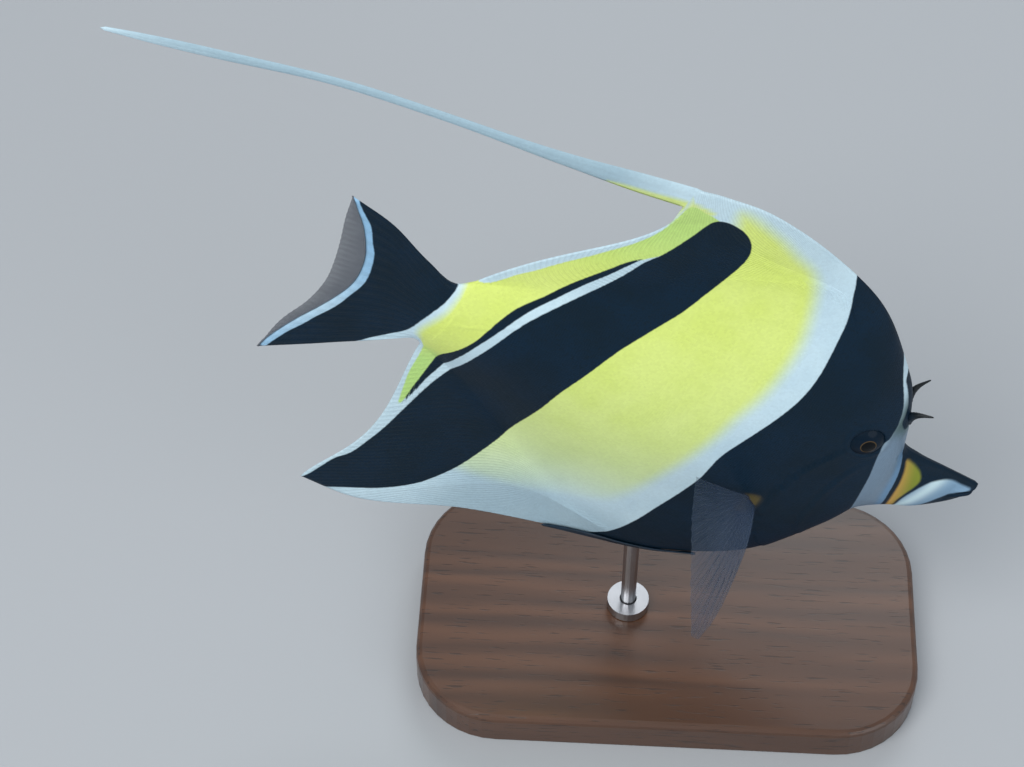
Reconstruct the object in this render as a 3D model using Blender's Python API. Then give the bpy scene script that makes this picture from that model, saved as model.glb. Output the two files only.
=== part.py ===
"""Moorish idol (Zanclus cornutus), a still life-size museum model on a display stand.

The fish is laid out in its own frame, in percent of its standard length: x runs forward
from the tail base (0) to the snout tip (100), y to its left, z towards its back.
An empty then pitches it nose-down over the stand. The model's origin is the middle of
the underside of the stand's base, +Z up, with the fish facing +X.
"""
import math

import bmesh
import bpy
import numpy as np

# Driving sizes, in metres and degrees
MM = 0.001
STANDARD_LENGTH = 145 * MM
PERCENT = STANDARD_LENGTH / 100
PITCH_DOWN = 24.3
GAP = 0.4 * MM
FIN_EDGE_HALF = 0.3 * MM
SKIN_MIN_HALF = 0.26 * MM

BASE_LENGTH = 132 * MM
BASE_WIDTH = 74 * MM
BASE_HEIGHT = 10 * MM
BASE_CORNER = 22 * MM
BASE_BEVEL = 1.6 * MM
ROD_RADIUS = 2.0 * MM
ROD_CLEARANCE = 0.3 * MM
ROD_SHOWN = 30 * MM
ROD_SINK_BASE = 6 * MM
ROD_SINK_BODY = 9 * MM
COLLAR_RADIUS = 5.5 * MM
COLLAR_HEIGHT = 3.0 * MM

# Where the fish stands over the base, as points of the fish in percent
BALANCE_X, BALANCE_Z = 47.0, -4.0
ROD_X, ROD_Z = 56.0, -41.6

# Outlines, as (station, x, z). A station is a line from the belly edge to the back edge
BACK_EDGE = [(0, 100.0, 1.6), (1, 97.0, 2.2), (2, 92.5, 2.9), (3, 87.6, 3.6), (4, 83.4, 5.2),
             (5, 80.3, 11.6), (6, 76.6, 18.5), (7, 71.6, 24.5), (9, 61.2, 34.5), (11, 48.5, 40.9),
             (13, 37.0, 44.3), (15, 29.0, 44.5), (17, 25.0, 44.1)]
BELLY_EDGE = [(0, 100.0, -0.6), (1, 97.0, -4.9), (2, 92.5, -8.7), (3, 88.0, -10.1), (4, 84.2, -11.7),
              (5, 81.9, -14.0), (6, 80.2, -20.0), (8, 72.6, -33.8), (10, 58.0, -41.5),
              (12, 42.0, -43.9), (14, 25.5, -46.8), (16, 6.5, -53.0), (17, -3.1, -51.6)]
DORSAL_BASE = [(8, 64.0, 28.0), (10, 55.5, 34.2), (12, 40.2, 30.4), (14, 24.6, 20.9),
               (16, 9.8, 12.3), (17, 3.1, 9.5)]
ANAL_BASE = [(8, 70.0, -30.0), (10, 57.5, -38.3), (12, 40.5, -35.4), (14, 24.2, -23.8),
             (16, 8.6, -12.0), (17, 1.3, -8.3)]
HALF_WIDTH = [(0, 0.9), (1, 1.5), (2, 2.2), (3, 3.1), (4, 4.4), (5, 5.7), (7, 7.0), (9, 7.4),
              (11, 7.0), (13, 5.9), (15, 4.4), (17, 2.9)]
TAIL_STATION = 17.0
DORSAL_START, ANAL_START, FIN_START_RUN = 9.2, 10.8, 1.4
EDGE_SHARE = 0.10
FIN_BASE_HALF = 0.85
DORSAL_BOW, ANAL_BOW = 4.0, 3.9

# Tail fin, as (run, x, z) with the run from its root (0) to its hind edge (1)
TAIL_UPPER = [(0, 2.8, 9.1), (0.14, 0.5, 7.5), (0.36, -4.8, 10.4), (0.7, -13.2, 16.0), (1, -20.9, 19.0)]
TAIL_LOWER = [(0, 1.0, -7.9), (0.14, -0.9, -7.4), (0.36, -4.9, -10.4), (0.7, -13.4, -16.2), (1, -21.7, -21.4)]
TAIL_HALF = [(0, 2.75), (0.14, 2.2), (0.3, 1.0), (0.5, 0.5), (1, 0.21)]
TAIL_BOW = 3.2

# Dorsal streamer centre line, as (run, x, z), and its half height along the run
STREAMER_LINE = [(0, 24.6, 42.0), (0.1, 15.5, 41.4), (0.25, 1.5, 40.8), (0.42, -14.5, 40.8),
                 (0.6, -31.0, 40.2), (0.8, -48.5, 37.5), (1, -65.0, 34.8)]
STREAMER_HALF = [(0, 2.1), (0.1, 1.85), (0.2, 1.3), (0.3, 1.05), (0.6, 0.8), (0.95, 0.62), (1, 0.35)]
STREAMER_THICK_HALF = 0.55 * MM

EYE_X, EYE_Z, EYE_Y = 72.9, 9.6, 5.27
EYE_RADIUS, EYE_DEPTH = 3.35, 2.1
EYE_CLEARANCE = 0.3 * MM

HORN_BASE = (79.0, 1.9, 13.5)
HORN_TIP = (80.8, 3.9, 17.8)
HORN_RADIUS = 0.95
HORN_TIP_RADIUS = 0.14

PECTORAL_ROOT_FRONT = (64.8, 7.4, -13.0)
PECTORAL_ROOT_REAR = (62.0, 7.5, -11.0)
PECTORAL_LEAD = (-0.10, 0.93, -0.36)
PECTORAL_TRAIL = (-0.80, 0.36, 0.48)
PECTORAL_REACH = [(0, 15.0), (0.1, 22.5), (0.2, 27.5), (0.32, 25.0), (0.5, 20.8), (0.75, 18.2), (1, 16.8)]

PELVIC_LINE = [(0, 65.5, -36.6), (0.3, 58.5, -39.4), (0.65, 49.0, -41.9), (1, 39.4, -43.9)]
PELVIC_DEPTH = [(0, 1.8), (0.25, 2.4), (0.6, 2.0), (1, 0.5)]
PELVIC_OUT = [(0, 3.3), (0.4, 3.0), (0.8, 2.4), (1, 2.0)]


def spline(points, at):
    """Smooth curve through rows of (parameter, values...), read at one parameter."""
    rows = np.array(points, dtype=float)
    knots, values = rows[:, 0], rows[:, 1:]
    at = min(max(at, knots[0]), knots[-1])
    slopes = np.gradient(values, knots, axis=0)
    k = min(int(np.searchsorted(knots, at, side="right")) - 1, len(knots) - 2)
    span = knots[k + 1] - knots[k]
    t = (at - knots[k]) / span
    held = (2 * t ** 3 - 3 * t ** 2 + 1) * values[k] + (3 * t ** 2 - 2 * t ** 3) * values[k + 1]
    turned = (t ** 3 - 2 * t ** 2 + t) * slopes[k] + (t ** 3 - t ** 2) * slopes[k + 1]
    return held + span * turned


def smooth_step(at, start, run):
    t = min(max((at - start) / run, 0.0), 1.0)
    return t * t * (3 - 2 * t)


def station(s):
    """The four corner points of one station: belly edge, anal base, dorsal base, back edge."""
    back, belly = spline(BACK_EDGE, s), spline(BELLY_EDGE, s)
    grown = smooth_step(s, 8.0, 2.5)
    dorsal = (1 - grown) * (back + EDGE_SHARE * (belly - back)) + grown * spline(DORSAL_BASE, s)
    anal = (1 - grown) * (belly + EDGE_SHARE * (back - belly)) + grown * spline(ANAL_BASE, s)
    return belly, anal, dorsal, back


def flank_point(s, v):
    """A point of the fish's middle plane, and its distances along the station line.

    v runs from the belly edge (-1) over the anal base (-0.5) and the dorsal base (0.5)
    to the back edge (1)."""
    belly, anal, dorsal, back = station(s)
    swept = smooth_step(s, 10.0, TAIL_STATION - 10.0)
    if v > 0.5:
        t = (v - 0.5) * 2
        chord = back - dorsal
        ahead = np.array([chord[1], -chord[0]]) / np.linalg.norm(chord)
        return dorsal + t * chord + swept * DORSAL_BOW * math.sin(math.pi * t ** 1.9) * ahead
    if v < -0.5:
        t = (-v - 0.5) * 2
        chord = belly - anal
        ahead = np.array([-chord[1], chord[0]]) / np.linalg.norm(chord)
        bow = ANAL_BOW * math.sin(math.pi * t ** 1.25) * (1 - 0.9 * t ** 6)
        return anal + t * chord + swept * bow * ahead
    return anal + (v + 0.5) * (dorsal - anal)


def flank_half(s, v):
    """Half thickness of the fish at (s, v), in percent of the standard length."""
    belly, anal, dorsal, back = station(s)
    below = np.linalg.norm(anal - belly)
    middle = np.linalg.norm(dorsal - anal)
    above = np.linalg.norm(back - dorsal)
    run = np.interp(v, [-1, -0.5, 0.5, 1], [0, below, below + middle, below + middle + above])
    whole = 2 * run / (below + middle + above) - 1
    body = 2 * (run - below) / middle - 1
    full = spline(HALF_WIDTH, s)[0]
    rounded = full * max(0.0, 1 - abs(whole) ** 2.3) ** 0.56
    edge = FIN_EDGE_HALF / PERCENT
    out = max(abs(v) - 0.5, 0.0) * 2
    fin = edge + (FIN_BASE_HALF - edge) * (1 - out) ** 1.3
    # The keeled section fills out to the round one of the tail stalk
    hollow = 1.3 - 0.7 * smooth_step(s, 14.8, 2.2)
    keeled = fin + (full - FIN_BASE_HALF) * max(0.0, 1 - body * body) ** hollow
    sharp_back = smooth_step(s, 7.5, 3.5)
    sharp_belly = smooth_step(s, 9.6, 3.0)
    share = smooth_step(v, -0.4, 0.8)
    sharp = sharp_belly + (sharp_back - sharp_belly) * share
    return max((1 - sharp) * rounded + sharp * keeled, SKIN_MIN_HALF / PERCENT)


def cut_high(s):
    """Where the trunk ends and the dorsal fin starts, as a value of v."""
    return 1 - 0.5 * smooth_step(s, DORSAL_START, FIN_START_RUN)


def cut_low(s):
    """Where the trunk ends and the anal fin starts, as a value of v."""
    return -1 + 0.5 * smooth_step(s, ANAL_START, FIN_START_RUN)


def tail_point(c, v):
    upper, lower = spline(TAIL_UPPER, c), spline(TAIL_LOWER, c)
    t = (v + 1) / 2
    bow = TAIL_BOW * smooth_step(c, 0.3, 0.7) * math.sin(math.pi * t)
    return lower + t * (upper - lower) + np.array([bow, 0.0])


def tail_half(c, v):
    full = spline(TAIL_HALF, c)[0]
    rounded = full * max(0.0, 1 - abs(v) ** 2.2) ** 0.6
    flat = full * (1 - 0.35 * abs(v) ** 2)
    flatness = smooth_step(c, 0.0, 0.4)
    return max((1 - flatness) * rounded + flatness * flat, SKIN_MIN_HALF / PERCENT)


def material(name, colour, roughness, metallic=0.0):
    made = bpy.data.materials.new(name)
    made.use_nodes = True
    shader = made.node_tree.nodes["Principled BSDF"]
    shader.inputs["Base Color"].default_value = (*colour, 1.0)
    shader.inputs["Roughness"].default_value = roughness
    shader.inputs["Metallic"].default_value = metallic
    return made


def add_object(name, mesh, colour, roughness, parent=None, metallic=0.0):
    made = bpy.data.objects.new(name, mesh)
    mesh.materials.append(material(name + "_finish", colour, roughness, metallic))
    model.objects.link(made)
    made.parent = parent
    return made


def mesh_from(bm, name, smooth_angle=40):
    bm.normal_update()
    bmesh.ops.recalc_face_normals(bm, faces=bm.faces)
    mesh = bpy.data.meshes.new(name)
    bm.to_mesh(mesh)
    bm.free()
    mesh.shade_smooth()
    mesh.set_sharp_from_angle(angle=math.radians(smooth_angle))
    return mesh


def closed_slab(name, right, left):
    """A closed solid between two grids of points with the same rows and columns."""
    rows, columns = len(right), len(right[0])
    bm = bmesh.new()
    sides = [[[bm.verts.new(p) for p in row] for row in grid] for grid in (right, left)]
    for side in sides:
        for i in range(rows - 1):
            for j in range(columns - 1):
                bm.faces.new((side[i][j], side[i + 1][j], side[i + 1][j + 1], side[i][j + 1]))
    near, far = sides
    rim = [(i, 0) for i in range(rows)]
    rim += [(rows - 1, j) for j in range(1, columns)]
    rim += [(i, columns - 1) for i in range(rows - 2, -1, -1)]
    rim += [(0, j) for j in range(columns - 2, 0, -1)]
    for (i, j), (k, m) in zip(rim, rim[1:] + rim[:1]):
        bm.faces.new((near[i][j], near[k][m], far[k][m], far[i][j]))
    return mesh_from(bm, name)


def slab_of(name, point, half, rows, low, high, columns):
    """The solid of one stretch of the fish, between the lines v = low(s) and v = high(s)."""
    right, left = [], []
    for s in rows:
        bottom, top = low(s), high(s)
        lower_end, upper_end = point(s, bottom), point(s, top)
        inset = 0.5 * GAP / PERCENT / max(np.linalg.norm(upper_end - lower_end), 1e-6)
        first = bottom + (inset * (top - bottom) if bottom > -1 else 0)
        last = top - (inset * (top - bottom) if top < 1 else 0)
        near, far = [], []
        for j in range(columns + 1):
            # Close the spacing up towards both edges, where the section turns most
            t = 0.5 - 0.5 * math.cos(math.pi * j / columns)
            v = first + (last - first) * (0.4 * j / columns + 0.6 * t)
            x, z = point(s, v)
            y = half(s, v)
            near.append((x * PERCENT, -y * PERCENT, z * PERCENT))
            far.append((x * PERCENT, y * PERCENT, z * PERCENT))
        right.append(near)
        left.append(far)
    return closed_slab(name, right, left)


def rows_between(start, end, count, trim_start=True, trim_end=True):
    """Even station values, with half a gap kept free at each end that meets a neighbour."""
    def half_gap(s, side):
        here, there = flank_point(s, 0), flank_point(s + side * 0.1, 0)
        return side * 0.1 * 0.5 * GAP / PERCENT / np.linalg.norm(there - here)
    first = start + (half_gap(start, 1) if trim_start else 0)
    last = end + (half_gap(end, -1) if trim_end else 0)
    return [first + (last - first) * i / count for i in range(count + 1)]


def build_flesh(pose):
    """Head, snout, jaws, trunk, tail stalk, and the dorsal, anal and tail fins."""
    def whole(v):
        return lambda s: v
    black, yellow, white = (0.012, 0.016, 0.022), (0.72, 0.78, 0.12), (0.62, 0.72, 0.80)
    mouth_end, face_end, gill, tail_root, mouth_line = 1.35, 3.6, 8.4, 15.4, -0.06
    pieces = [
        ("upper_jaw", rows_between(0, mouth_end, 4, False), whole(mouth_line), whole(1), 8, black),
        ("lower_jaw", rows_between(0.3, mouth_end, 4, False), whole(-1), whole(mouth_line), 6, white),
        ("snout", rows_between(mouth_end, face_end, 6), whole(-1), whole(1), 14, black),
        ("head", rows_between(face_end, gill, 11), whole(-1), whole(1), 18, black),
        ("trunk", rows_between(gill, tail_root, 15), cut_low, cut_high, 17, yellow),
        ("tail_peduncle", rows_between(tail_root, TAIL_STATION, 5), cut_low, cut_high, 14, yellow),
        ("dorsal_fin", rows_between(DORSAL_START + 0.35, TAIL_STATION, 18, False, False),
         cut_high, whole(1), 9, white),
        ("anal_fin", rows_between(ANAL_START + 0.35, TAIL_STATION, 16, False, False),
         whole(-1), cut_low, 9, black),
    ]
    made = {}
    for name, rows, low, high, columns, colour in pieces:
        mesh = slab_of(name, flank_point, flank_half, rows, low, high, columns)
        made[name] = add_object(name, mesh, colour, 0.45, pose)
    root_gap = GAP / PERCENT / 20
    tail_rows = [root_gap + (1 - root_gap) * (i / 12) for i in range(13)]
    mesh = slab_of("caudal_fin", tail_point, tail_half, tail_rows, whole(-1), whole(1), 15)
    add_object("caudal_fin", mesh, black, 0.45, pose)
    return made


def build_streamer(pose):
    """The dorsal fin's long trailing filament, in three lengths."""
    sides, gap = 8, GAP / STANDARD_LENGTH
    cuts = [("root", gap, 0.2, 7), ("middle", 0.2, 0.6, 10), ("tip", 0.6, 1.0, 12)]
    for label, start, end, count in cuts:
        first = start + gap / 2
        last = end - (gap / 2 if end < 1 else 0)
        bm = bmesh.new()
        rings = []
        for i in range(count + 1):
            at = first + (last - first) * i / count
            x, z = spline(STREAMER_LINE, at)
            tall = spline(STREAMER_HALF, at)[0]
            ring = []
            for k in range(sides):
                turn = 2 * math.pi * k / sides
                side = STREAMER_THICK_HALF * math.cos(turn)
                ring.append(bm.verts.new((x * PERCENT, side, (z + tall * math.sin(turn)) * PERCENT)))
            rings.append(ring)
        for one, two in zip(rings, rings[1:]):
            for k in range(sides):
                m = (k + 1) % sides
                bm.faces.new((one[k], one[m], two[m], two[k]))
        bm.faces.new(rings[0])
        bm.faces.new(rings[-1])
        name = "dorsal_streamer_" + label
        add_object(name, mesh_from(bm, name), (0.66, 0.76, 0.82), 0.4, pose)


def build_pectoral(pose, side, name):
    """A pectoral fin held out from the flank, as a thin fan from its root."""
    front, rear = np.array(PECTORAL_ROOT_FRONT), np.array(PECTORAL_ROOT_REAR)
    lead, trail = np.array(PECTORAL_LEAD), np.array(PECTORAL_TRAIL)
    flip = np.array([1, side, 1])
    spread, reach = 12, 7
    faces = [[], []]
    normal = np.cross(lead, trail)
    normal /= np.linalg.norm(normal)
    for i in range(spread + 1):
        fan = i / spread
        root = front + (rear - front) * fan
        heading = lead + (trail - lead) * fan
        heading /= np.linalg.norm(heading)
        length = spline(PECTORAL_REACH, fan)[0]
        rows = [[], []]
        for j in range(reach + 1):
            out = j / reach
            at = root + heading * length * out
            at = at + normal * 1.2 * math.sin(math.pi * out) * (0.5 - fan)
            half = (0.5 * (1 - out) + 0.26 * out) * MM
            for k, direction in enumerate((-1, 1)):
                rows[k].append(tuple((at * PERCENT + normal * half * direction) * flip))
        faces[0].append(rows[0])
        faces[1].append(rows[1])
    mesh = closed_slab(name, faces[0], faces[1])
    add_object(name, mesh, (0.42, 0.52, 0.66), 0.35, pose)


def build_pelvic(pose, side, name):
    """A pelvic fin folded back along the belly, as a thin leaning blade."""
    length, depth = 12, 4
    faces = [[], []]
    for i in range(length + 1):
        at = i / length
        x, z = spline(PELVIC_LINE, at)
        tall, out = spline(PELVIC_DEPTH, at)[0], spline(PELVIC_OUT, at)[0]
        rows = [[], []]
        for j in range(depth + 1):
            down = j / depth
            y = out + (1.95 - out) * down
            half = 0.3 * MM
            for k, direction in enumerate((-1, 1)):
                rows[k].append((x * PERCENT, side * (y * PERCENT + direction * half),
                                (z + tall * (0.45 - down)) * PERCENT))
        faces[0].append(rows[0])
        faces[1].append(rows[1])
    mesh = closed_slab(name, faces[0], faces[1])
    add_object(name, mesh, (0.012, 0.016, 0.022), 0.45, pose)


def ellipsoid(name, centre, radius, depth, segments=18, rings=10):
    bm = bmesh.new()
    bmesh.ops.create_uvsphere(bm, u_segments=segments, v_segments=rings, radius=1.0)
    # The poles point sideways, so that the pupil sits on one
    for vert in bm.verts:
        x, y, z = vert.co
        vert.co = (centre[0] + radius * x, centre[1] - depth * z, centre[2] + radius * y)
    return mesh_from(bm, name, 60)


def tapered_cone(name, foot, tip, foot_radius, tip_radius, grow=0.0):
    """A slim cone between two points, made wider and longer by grow for a cutter."""
    foot, tip = np.array(foot), np.array(tip)
    axis = tip - foot
    length = np.linalg.norm(axis)
    axis /= length
    bm = bmesh.new()
    bmesh.ops.create_cone(bm, cap_ends=True, segments=14, radius1=foot_radius + grow,
                          radius2=tip_radius + grow, depth=length + 2 * grow)
    side = np.cross(axis, (1.0, 0.0, 0.0))
    side /= np.linalg.norm(side)
    other = np.cross(axis, side)
    middle = (foot + tip) / 2
    for vert in bm.verts:
        x, y, z = vert.co
        vert.co = middle + side * x + other * y + axis * z
    return mesh_from(bm, name, 50)


def cut(target, name, mesh, parent=None):
    """Cut one object with a closed mesh, kept as a wire guide in the cutters' collection."""
    tool = bpy.data.objects.new(name, mesh)
    cutters.objects.link(tool)
    tool.parent = parent
    tool.hide_render = True
    tool.display_type = "WIRE"
    step = target.modifiers.new(name, "BOOLEAN")
    step.operation = "DIFFERENCE"
    step.object = tool


def build_eyes_and_horns(pose, head):
    for side, label in ((-1, "right"), (1, "left")):
        centre = [EYE_X * PERCENT, side * EYE_Y * PERCENT, EYE_Z * PERCENT]
        radius, depth = EYE_RADIUS * PERCENT, EYE_DEPTH * PERCENT
        eye = ellipsoid("eye_" + label, centre, radius, depth)
        add_object("eye_" + label, eye, (0.02, 0.018, 0.015), 0.08, pose)
        socket = ellipsoid("socket_" + label, centre, radius + EYE_CLEARANCE, depth + EYE_CLEARANCE)
        cut(head, "socket_" + label, socket, pose)
        foot = [HORN_BASE[0] * PERCENT, side * HORN_BASE[1] * PERCENT, HORN_BASE[2] * PERCENT]
        tip = [HORN_TIP[0] * PERCENT, side * HORN_TIP[1] * PERCENT, HORN_TIP[2] * PERCENT]
        thick, thin = HORN_RADIUS * PERCENT, HORN_TIP_RADIUS * PERCENT
        horn = tapered_cone("horn_" + label, foot, tip, thick, thin)
        add_object("horn_" + label, horn, (0.03, 0.035, 0.04), 0.4, pose)
        seat = tapered_cone("horn_seat_" + label, foot, tip, thick, thin, EYE_CLEARANCE)
        cut(head, "horn_seat_" + label, seat, pose)


def cylinder(name, radius, bottom, top, x, segments=32):
    bm = bmesh.new()
    bmesh.ops.create_cone(bm, cap_ends=True, segments=segments, radius1=radius, radius2=radius,
                          depth=top - bottom)
    bmesh.ops.translate(bm, verts=bm.verts, vec=(x, 0, (top + bottom) / 2))
    return mesh_from(bm, name, 30)


def build_stand(trunk):
    """A rounded wooden base, one upright rod and the collar that it stands in."""
    bm = bmesh.new()
    bmesh.ops.create_cube(bm, size=1.0)
    bmesh.ops.scale(bm, vec=(BASE_LENGTH, BASE_WIDTH, BASE_HEIGHT), verts=bm.verts)
    bmesh.ops.translate(bm, vec=(0, 0, BASE_HEIGHT / 2), verts=bm.verts)
    upright = [e for e in bm.edges if abs(e.verts[0].co.z - e.verts[1].co.z) > BASE_HEIGHT / 2]
    bmesh.ops.bevel(bm, geom=upright, offset=BASE_CORNER, segments=10, profile=0.5, affect="EDGES")
    rim = [e for e in bm.edges if min(v.co.z for v in e.verts) > BASE_HEIGHT - 1e-6]
    bmesh.ops.bevel(bm, geom=rim, offset=BASE_BEVEL, segments=3, profile=0.5, affect="EDGES")
    base = add_object("stand_base", mesh_from(bm, "stand_base", 30), (0.09, 0.045, 0.022), 0.35)

    rod_x = rod_place()
    foot = BASE_HEIGHT - ROD_SINK_BASE
    belly = BASE_HEIGHT + ROD_SHOWN
    rod = cylinder("stand_rod", ROD_RADIUS, foot, belly + ROD_SINK_BODY, rod_x, 20)
    add_object("stand_rod", rod, (0.72, 0.72, 0.74), 0.25, None, 1.0)
    collar = cylinder("stand_collar", COLLAR_RADIUS, BASE_HEIGHT + 0.3 * MM,
                      BASE_HEIGHT + 0.3 * MM + COLLAR_HEIGHT, rod_x)
    collar_object = add_object("stand_collar", collar, (0.72, 0.72, 0.74), 0.3, None, 1.0)
    bore = ROD_RADIUS + ROD_CLEARANCE
    cut(base, "rod_hole", cylinder("rod_hole", bore, foot - ROD_CLEARANCE, 3 * BASE_HEIGHT, rod_x, 20))
    cut(collar_object, "collar_hole", cylinder("collar_hole", bore, 0, 3 * BASE_HEIGHT, rod_x, 20))
    cut(trunk, "belly_hole", cylinder("belly_hole", bore, belly - 20 * MM,
                                      belly + ROD_SINK_BODY + ROD_CLEARANCE, rod_x, 20))


def to_stand(x, z):
    """World x and height above the tail base of a fish point given in percent."""
    pitch = math.radians(PITCH_DOWN)
    ahead = x * math.cos(pitch) + z * math.sin(pitch)
    up = z * math.cos(pitch) - x * math.sin(pitch)
    return ahead * PERCENT, up * PERCENT


def rod_place():
    return to_stand(ROD_X, ROD_Z)[0] - to_stand(BALANCE_X, BALANCE_Z)[0]


for old in list(bpy.data.objects):
    bpy.data.objects.remove(old, do_unlink=True)

model = bpy.data.collections.new("moorish_idol_fish")
cutters = bpy.data.collections.new("moorish_idol_fish_cutters")
bpy.context.scene.collection.children.link(model)
bpy.context.scene.collection.children.link(cutters)

fish_pose = bpy.data.objects.new("fish_pose", None)
model.objects.link(fish_pose)
fish_pose.rotation_euler = (0, math.radians(PITCH_DOWN), 0)
belly_up = to_stand(ROD_X, ROD_Z)[1]
fish_pose.location = (-to_stand(BALANCE_X, BALANCE_Z)[0], 0, BASE_HEIGHT + ROD_SHOWN - belly_up)

flesh = build_flesh(fish_pose)
build_streamer(fish_pose)
for fin_side, fin_label in ((-1, "right"), (1, "left")):
    build_pectoral(fish_pose, fin_side, "pectoral_fin_" + fin_label)
    build_pelvic(fish_pose, fin_side, "pelvic_fin_" + fin_label)
build_eyes_and_horns(fish_pose, flesh["head"])
build_stand(flesh["trunk"])
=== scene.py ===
import math

import bmesh
import bpy
import numpy as np
from mathutils import Matrix, Vector


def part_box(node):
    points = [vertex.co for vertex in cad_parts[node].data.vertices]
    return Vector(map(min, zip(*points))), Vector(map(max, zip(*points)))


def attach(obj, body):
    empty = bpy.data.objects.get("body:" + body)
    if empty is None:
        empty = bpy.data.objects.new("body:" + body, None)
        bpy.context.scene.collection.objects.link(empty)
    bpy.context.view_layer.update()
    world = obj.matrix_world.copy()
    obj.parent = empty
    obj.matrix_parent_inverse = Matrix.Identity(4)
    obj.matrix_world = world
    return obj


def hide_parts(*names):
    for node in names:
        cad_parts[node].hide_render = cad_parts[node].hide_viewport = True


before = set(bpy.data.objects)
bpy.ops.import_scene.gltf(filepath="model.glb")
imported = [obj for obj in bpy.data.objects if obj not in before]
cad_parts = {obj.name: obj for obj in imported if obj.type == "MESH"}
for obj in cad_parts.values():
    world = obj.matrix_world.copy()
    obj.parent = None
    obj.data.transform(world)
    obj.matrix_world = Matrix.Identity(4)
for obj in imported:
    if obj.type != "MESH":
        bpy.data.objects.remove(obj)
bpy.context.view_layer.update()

MM = 0.001
PERCENT = 1.45 * MM
PITCH_DOWN = math.radians(24.3)

# Outlines, as (station, x, z). A station is a line from the belly edge to the back edge
BACK_EDGE = [(0, 100.0, 1.6), (1, 97.0, 2.2), (2, 92.5, 2.9), (3, 87.6, 3.6), (4, 83.4, 5.2),
             (5, 80.3, 11.6), (6, 76.6, 18.5), (7, 71.6, 24.5), (9, 61.2, 34.5), (11, 48.5, 40.9),
             (13, 37.0, 44.3), (15, 29.0, 44.5), (17, 25.0, 44.1)]
BELLY_EDGE = [(0, 100.0, -0.6), (1, 97.0, -4.9), (2, 92.5, -8.7), (3, 88.0, -10.1), (4, 84.2, -11.7),
              (5, 81.9, -14.0), (6, 80.2, -20.0), (8, 72.6, -33.8), (10, 58.0, -41.5),
              (12, 42.0, -43.9), (14, 25.5, -46.8), (16, 6.5, -53.0), (17, -3.1, -51.6)]
DORSAL_BASE = [(8, 64.0, 28.0), (10, 55.5, 34.2), (12, 40.2, 30.4), (14, 24.6, 20.9),
               (16, 9.8, 12.3), (17, 3.1, 9.5)]
ANAL_BASE = [(8, 70.0, -30.0), (10, 57.5, -38.3), (12, 40.5, -35.4), (14, 24.2, -23.8),
             (16, 8.6, -12.0), (17, 1.3, -8.3)]
HALF_WIDTH = [(0, 0.9), (1, 1.5), (2, 2.2), (3, 3.1), (4, 4.4), (5, 5.7), (7, 7.0), (9, 7.4),
              (11, 7.0), (13, 5.9), (15, 4.4), (17, 2.9)]
TAIL_STATION = 17.0
EDGE_SHARE = 0.10
FIN_BASE_HALF = 0.85
FIN_EDGE_HALF = 0.2
DORSAL_BOW, ANAL_BOW = 4.0, 3.9
EDGE_ROUNDING, LIP_ROUNDING = 0.3, 0.95

# Tail fin, as (run, x, z) with the run from its root (0) to its hind edge (1)
TAIL_UPPER = [(0, 2.8, 9.1), (0.14, 0.5, 7.5), (0.36, -4.8, 10.4), (0.7, -13.2, 16.0), (1, -20.9, 19.0)]
TAIL_LOWER = [(0, 1.0, -7.9), (0.14, -0.9, -7.4), (0.36, -4.9, -10.4), (0.7, -13.4, -16.2),
              (1, -21.7, -21.4)]
TAIL_HALF = [(0, 2.75), (0.14, 2.2), (0.3, 1.0), (0.5, 0.5), (1, 0.21)]
# How far a hind edge is hollowed in, from the lower tip (0) to the upper tip (1): that of the
# white crescent, and that of the clear web behind it
CRESCENT_BOW = [(0, 0.0), (0.04, 0.2), (0.15, 1.5), (0.25, 3.1), (0.34, 4.8), (0.43, 6.3), (0.51, 7.3),
                (0.57, 7.6), (0.64, 7.4), (0.71, 6.8), (0.8, 5.3), (0.88, 3.5), (0.94, 1.7), (1, 0.0)]
MEMBRANE_BOW = [(0, 0.0), (0.2, 0.9), (0.37, 3.0), (0.51, 3.6), (0.64, 3.0), (0.76, 2.0), (0.87, 0.9),
                (1, 0.0)]

# Dorsal streamer centre line, as (run, x, z), and its half height along the run
STREAMER_LINE = [(0, 24.6, 42.0), (0.1, 15.5, 41.4), (0.25, 1.5, 40.8), (0.42, -14.5, 40.8),
                 (0.6, -31.0, 40.2), (0.8, -48.5, 37.5), (1, -65.0, 34.8)]
STREAMER_HALF = [(0, 2.3), (0.1, 2.05), (0.2, 1.45), (0.3, 1.05), (0.6, 0.8), (0.95, 0.62), (1, 0.3)]
STREAMER_THICK = 0.36
STREAMER_SHARE = 0.8

EYE_X, EYE_Y, EYE_Z = 72.9, 5.27, 9.6
EYE_RADIUS, EYE_DEPTH = 3.3, 2.1
# How far the eye's axis leans forward and up, to stand square to the head
EYE_TILT = (0.145, 0.135)
HORN_BASE, HORN_TIP = (79.0, 1.9, 13.5), (80.8, 3.9, 17.8)
HORN_RADIUS, HORN_TIP_RADIUS = 0.95, 0.14

PECTORAL_ROOT_FRONT, PECTORAL_ROOT_REAR = (64.8, 7.4, -13.0), (62.0, 7.5, -11.0)
PECTORAL_LEAD, PECTORAL_TRAIL = (-0.10, 0.93, -0.36), (-0.80, 0.36, 0.48)
PECTORAL_REACH = [(0, 13.0), (0.1, 21.8), (0.2, 27.8), (0.32, 25.0), (0.5, 20.8), (0.75, 18.2), (1, 16.8)]
PELVIC_LINE = [(0, 65.5, -36.6), (0.3, 58.5, -39.4), (0.65, 49.0, -41.9), (1, 39.4, -43.9)]
PELVIC_DEPTH = [(0, 1.8), (0.25, 2.4), (0.6, 2.0), (1, 0.5)]
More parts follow.
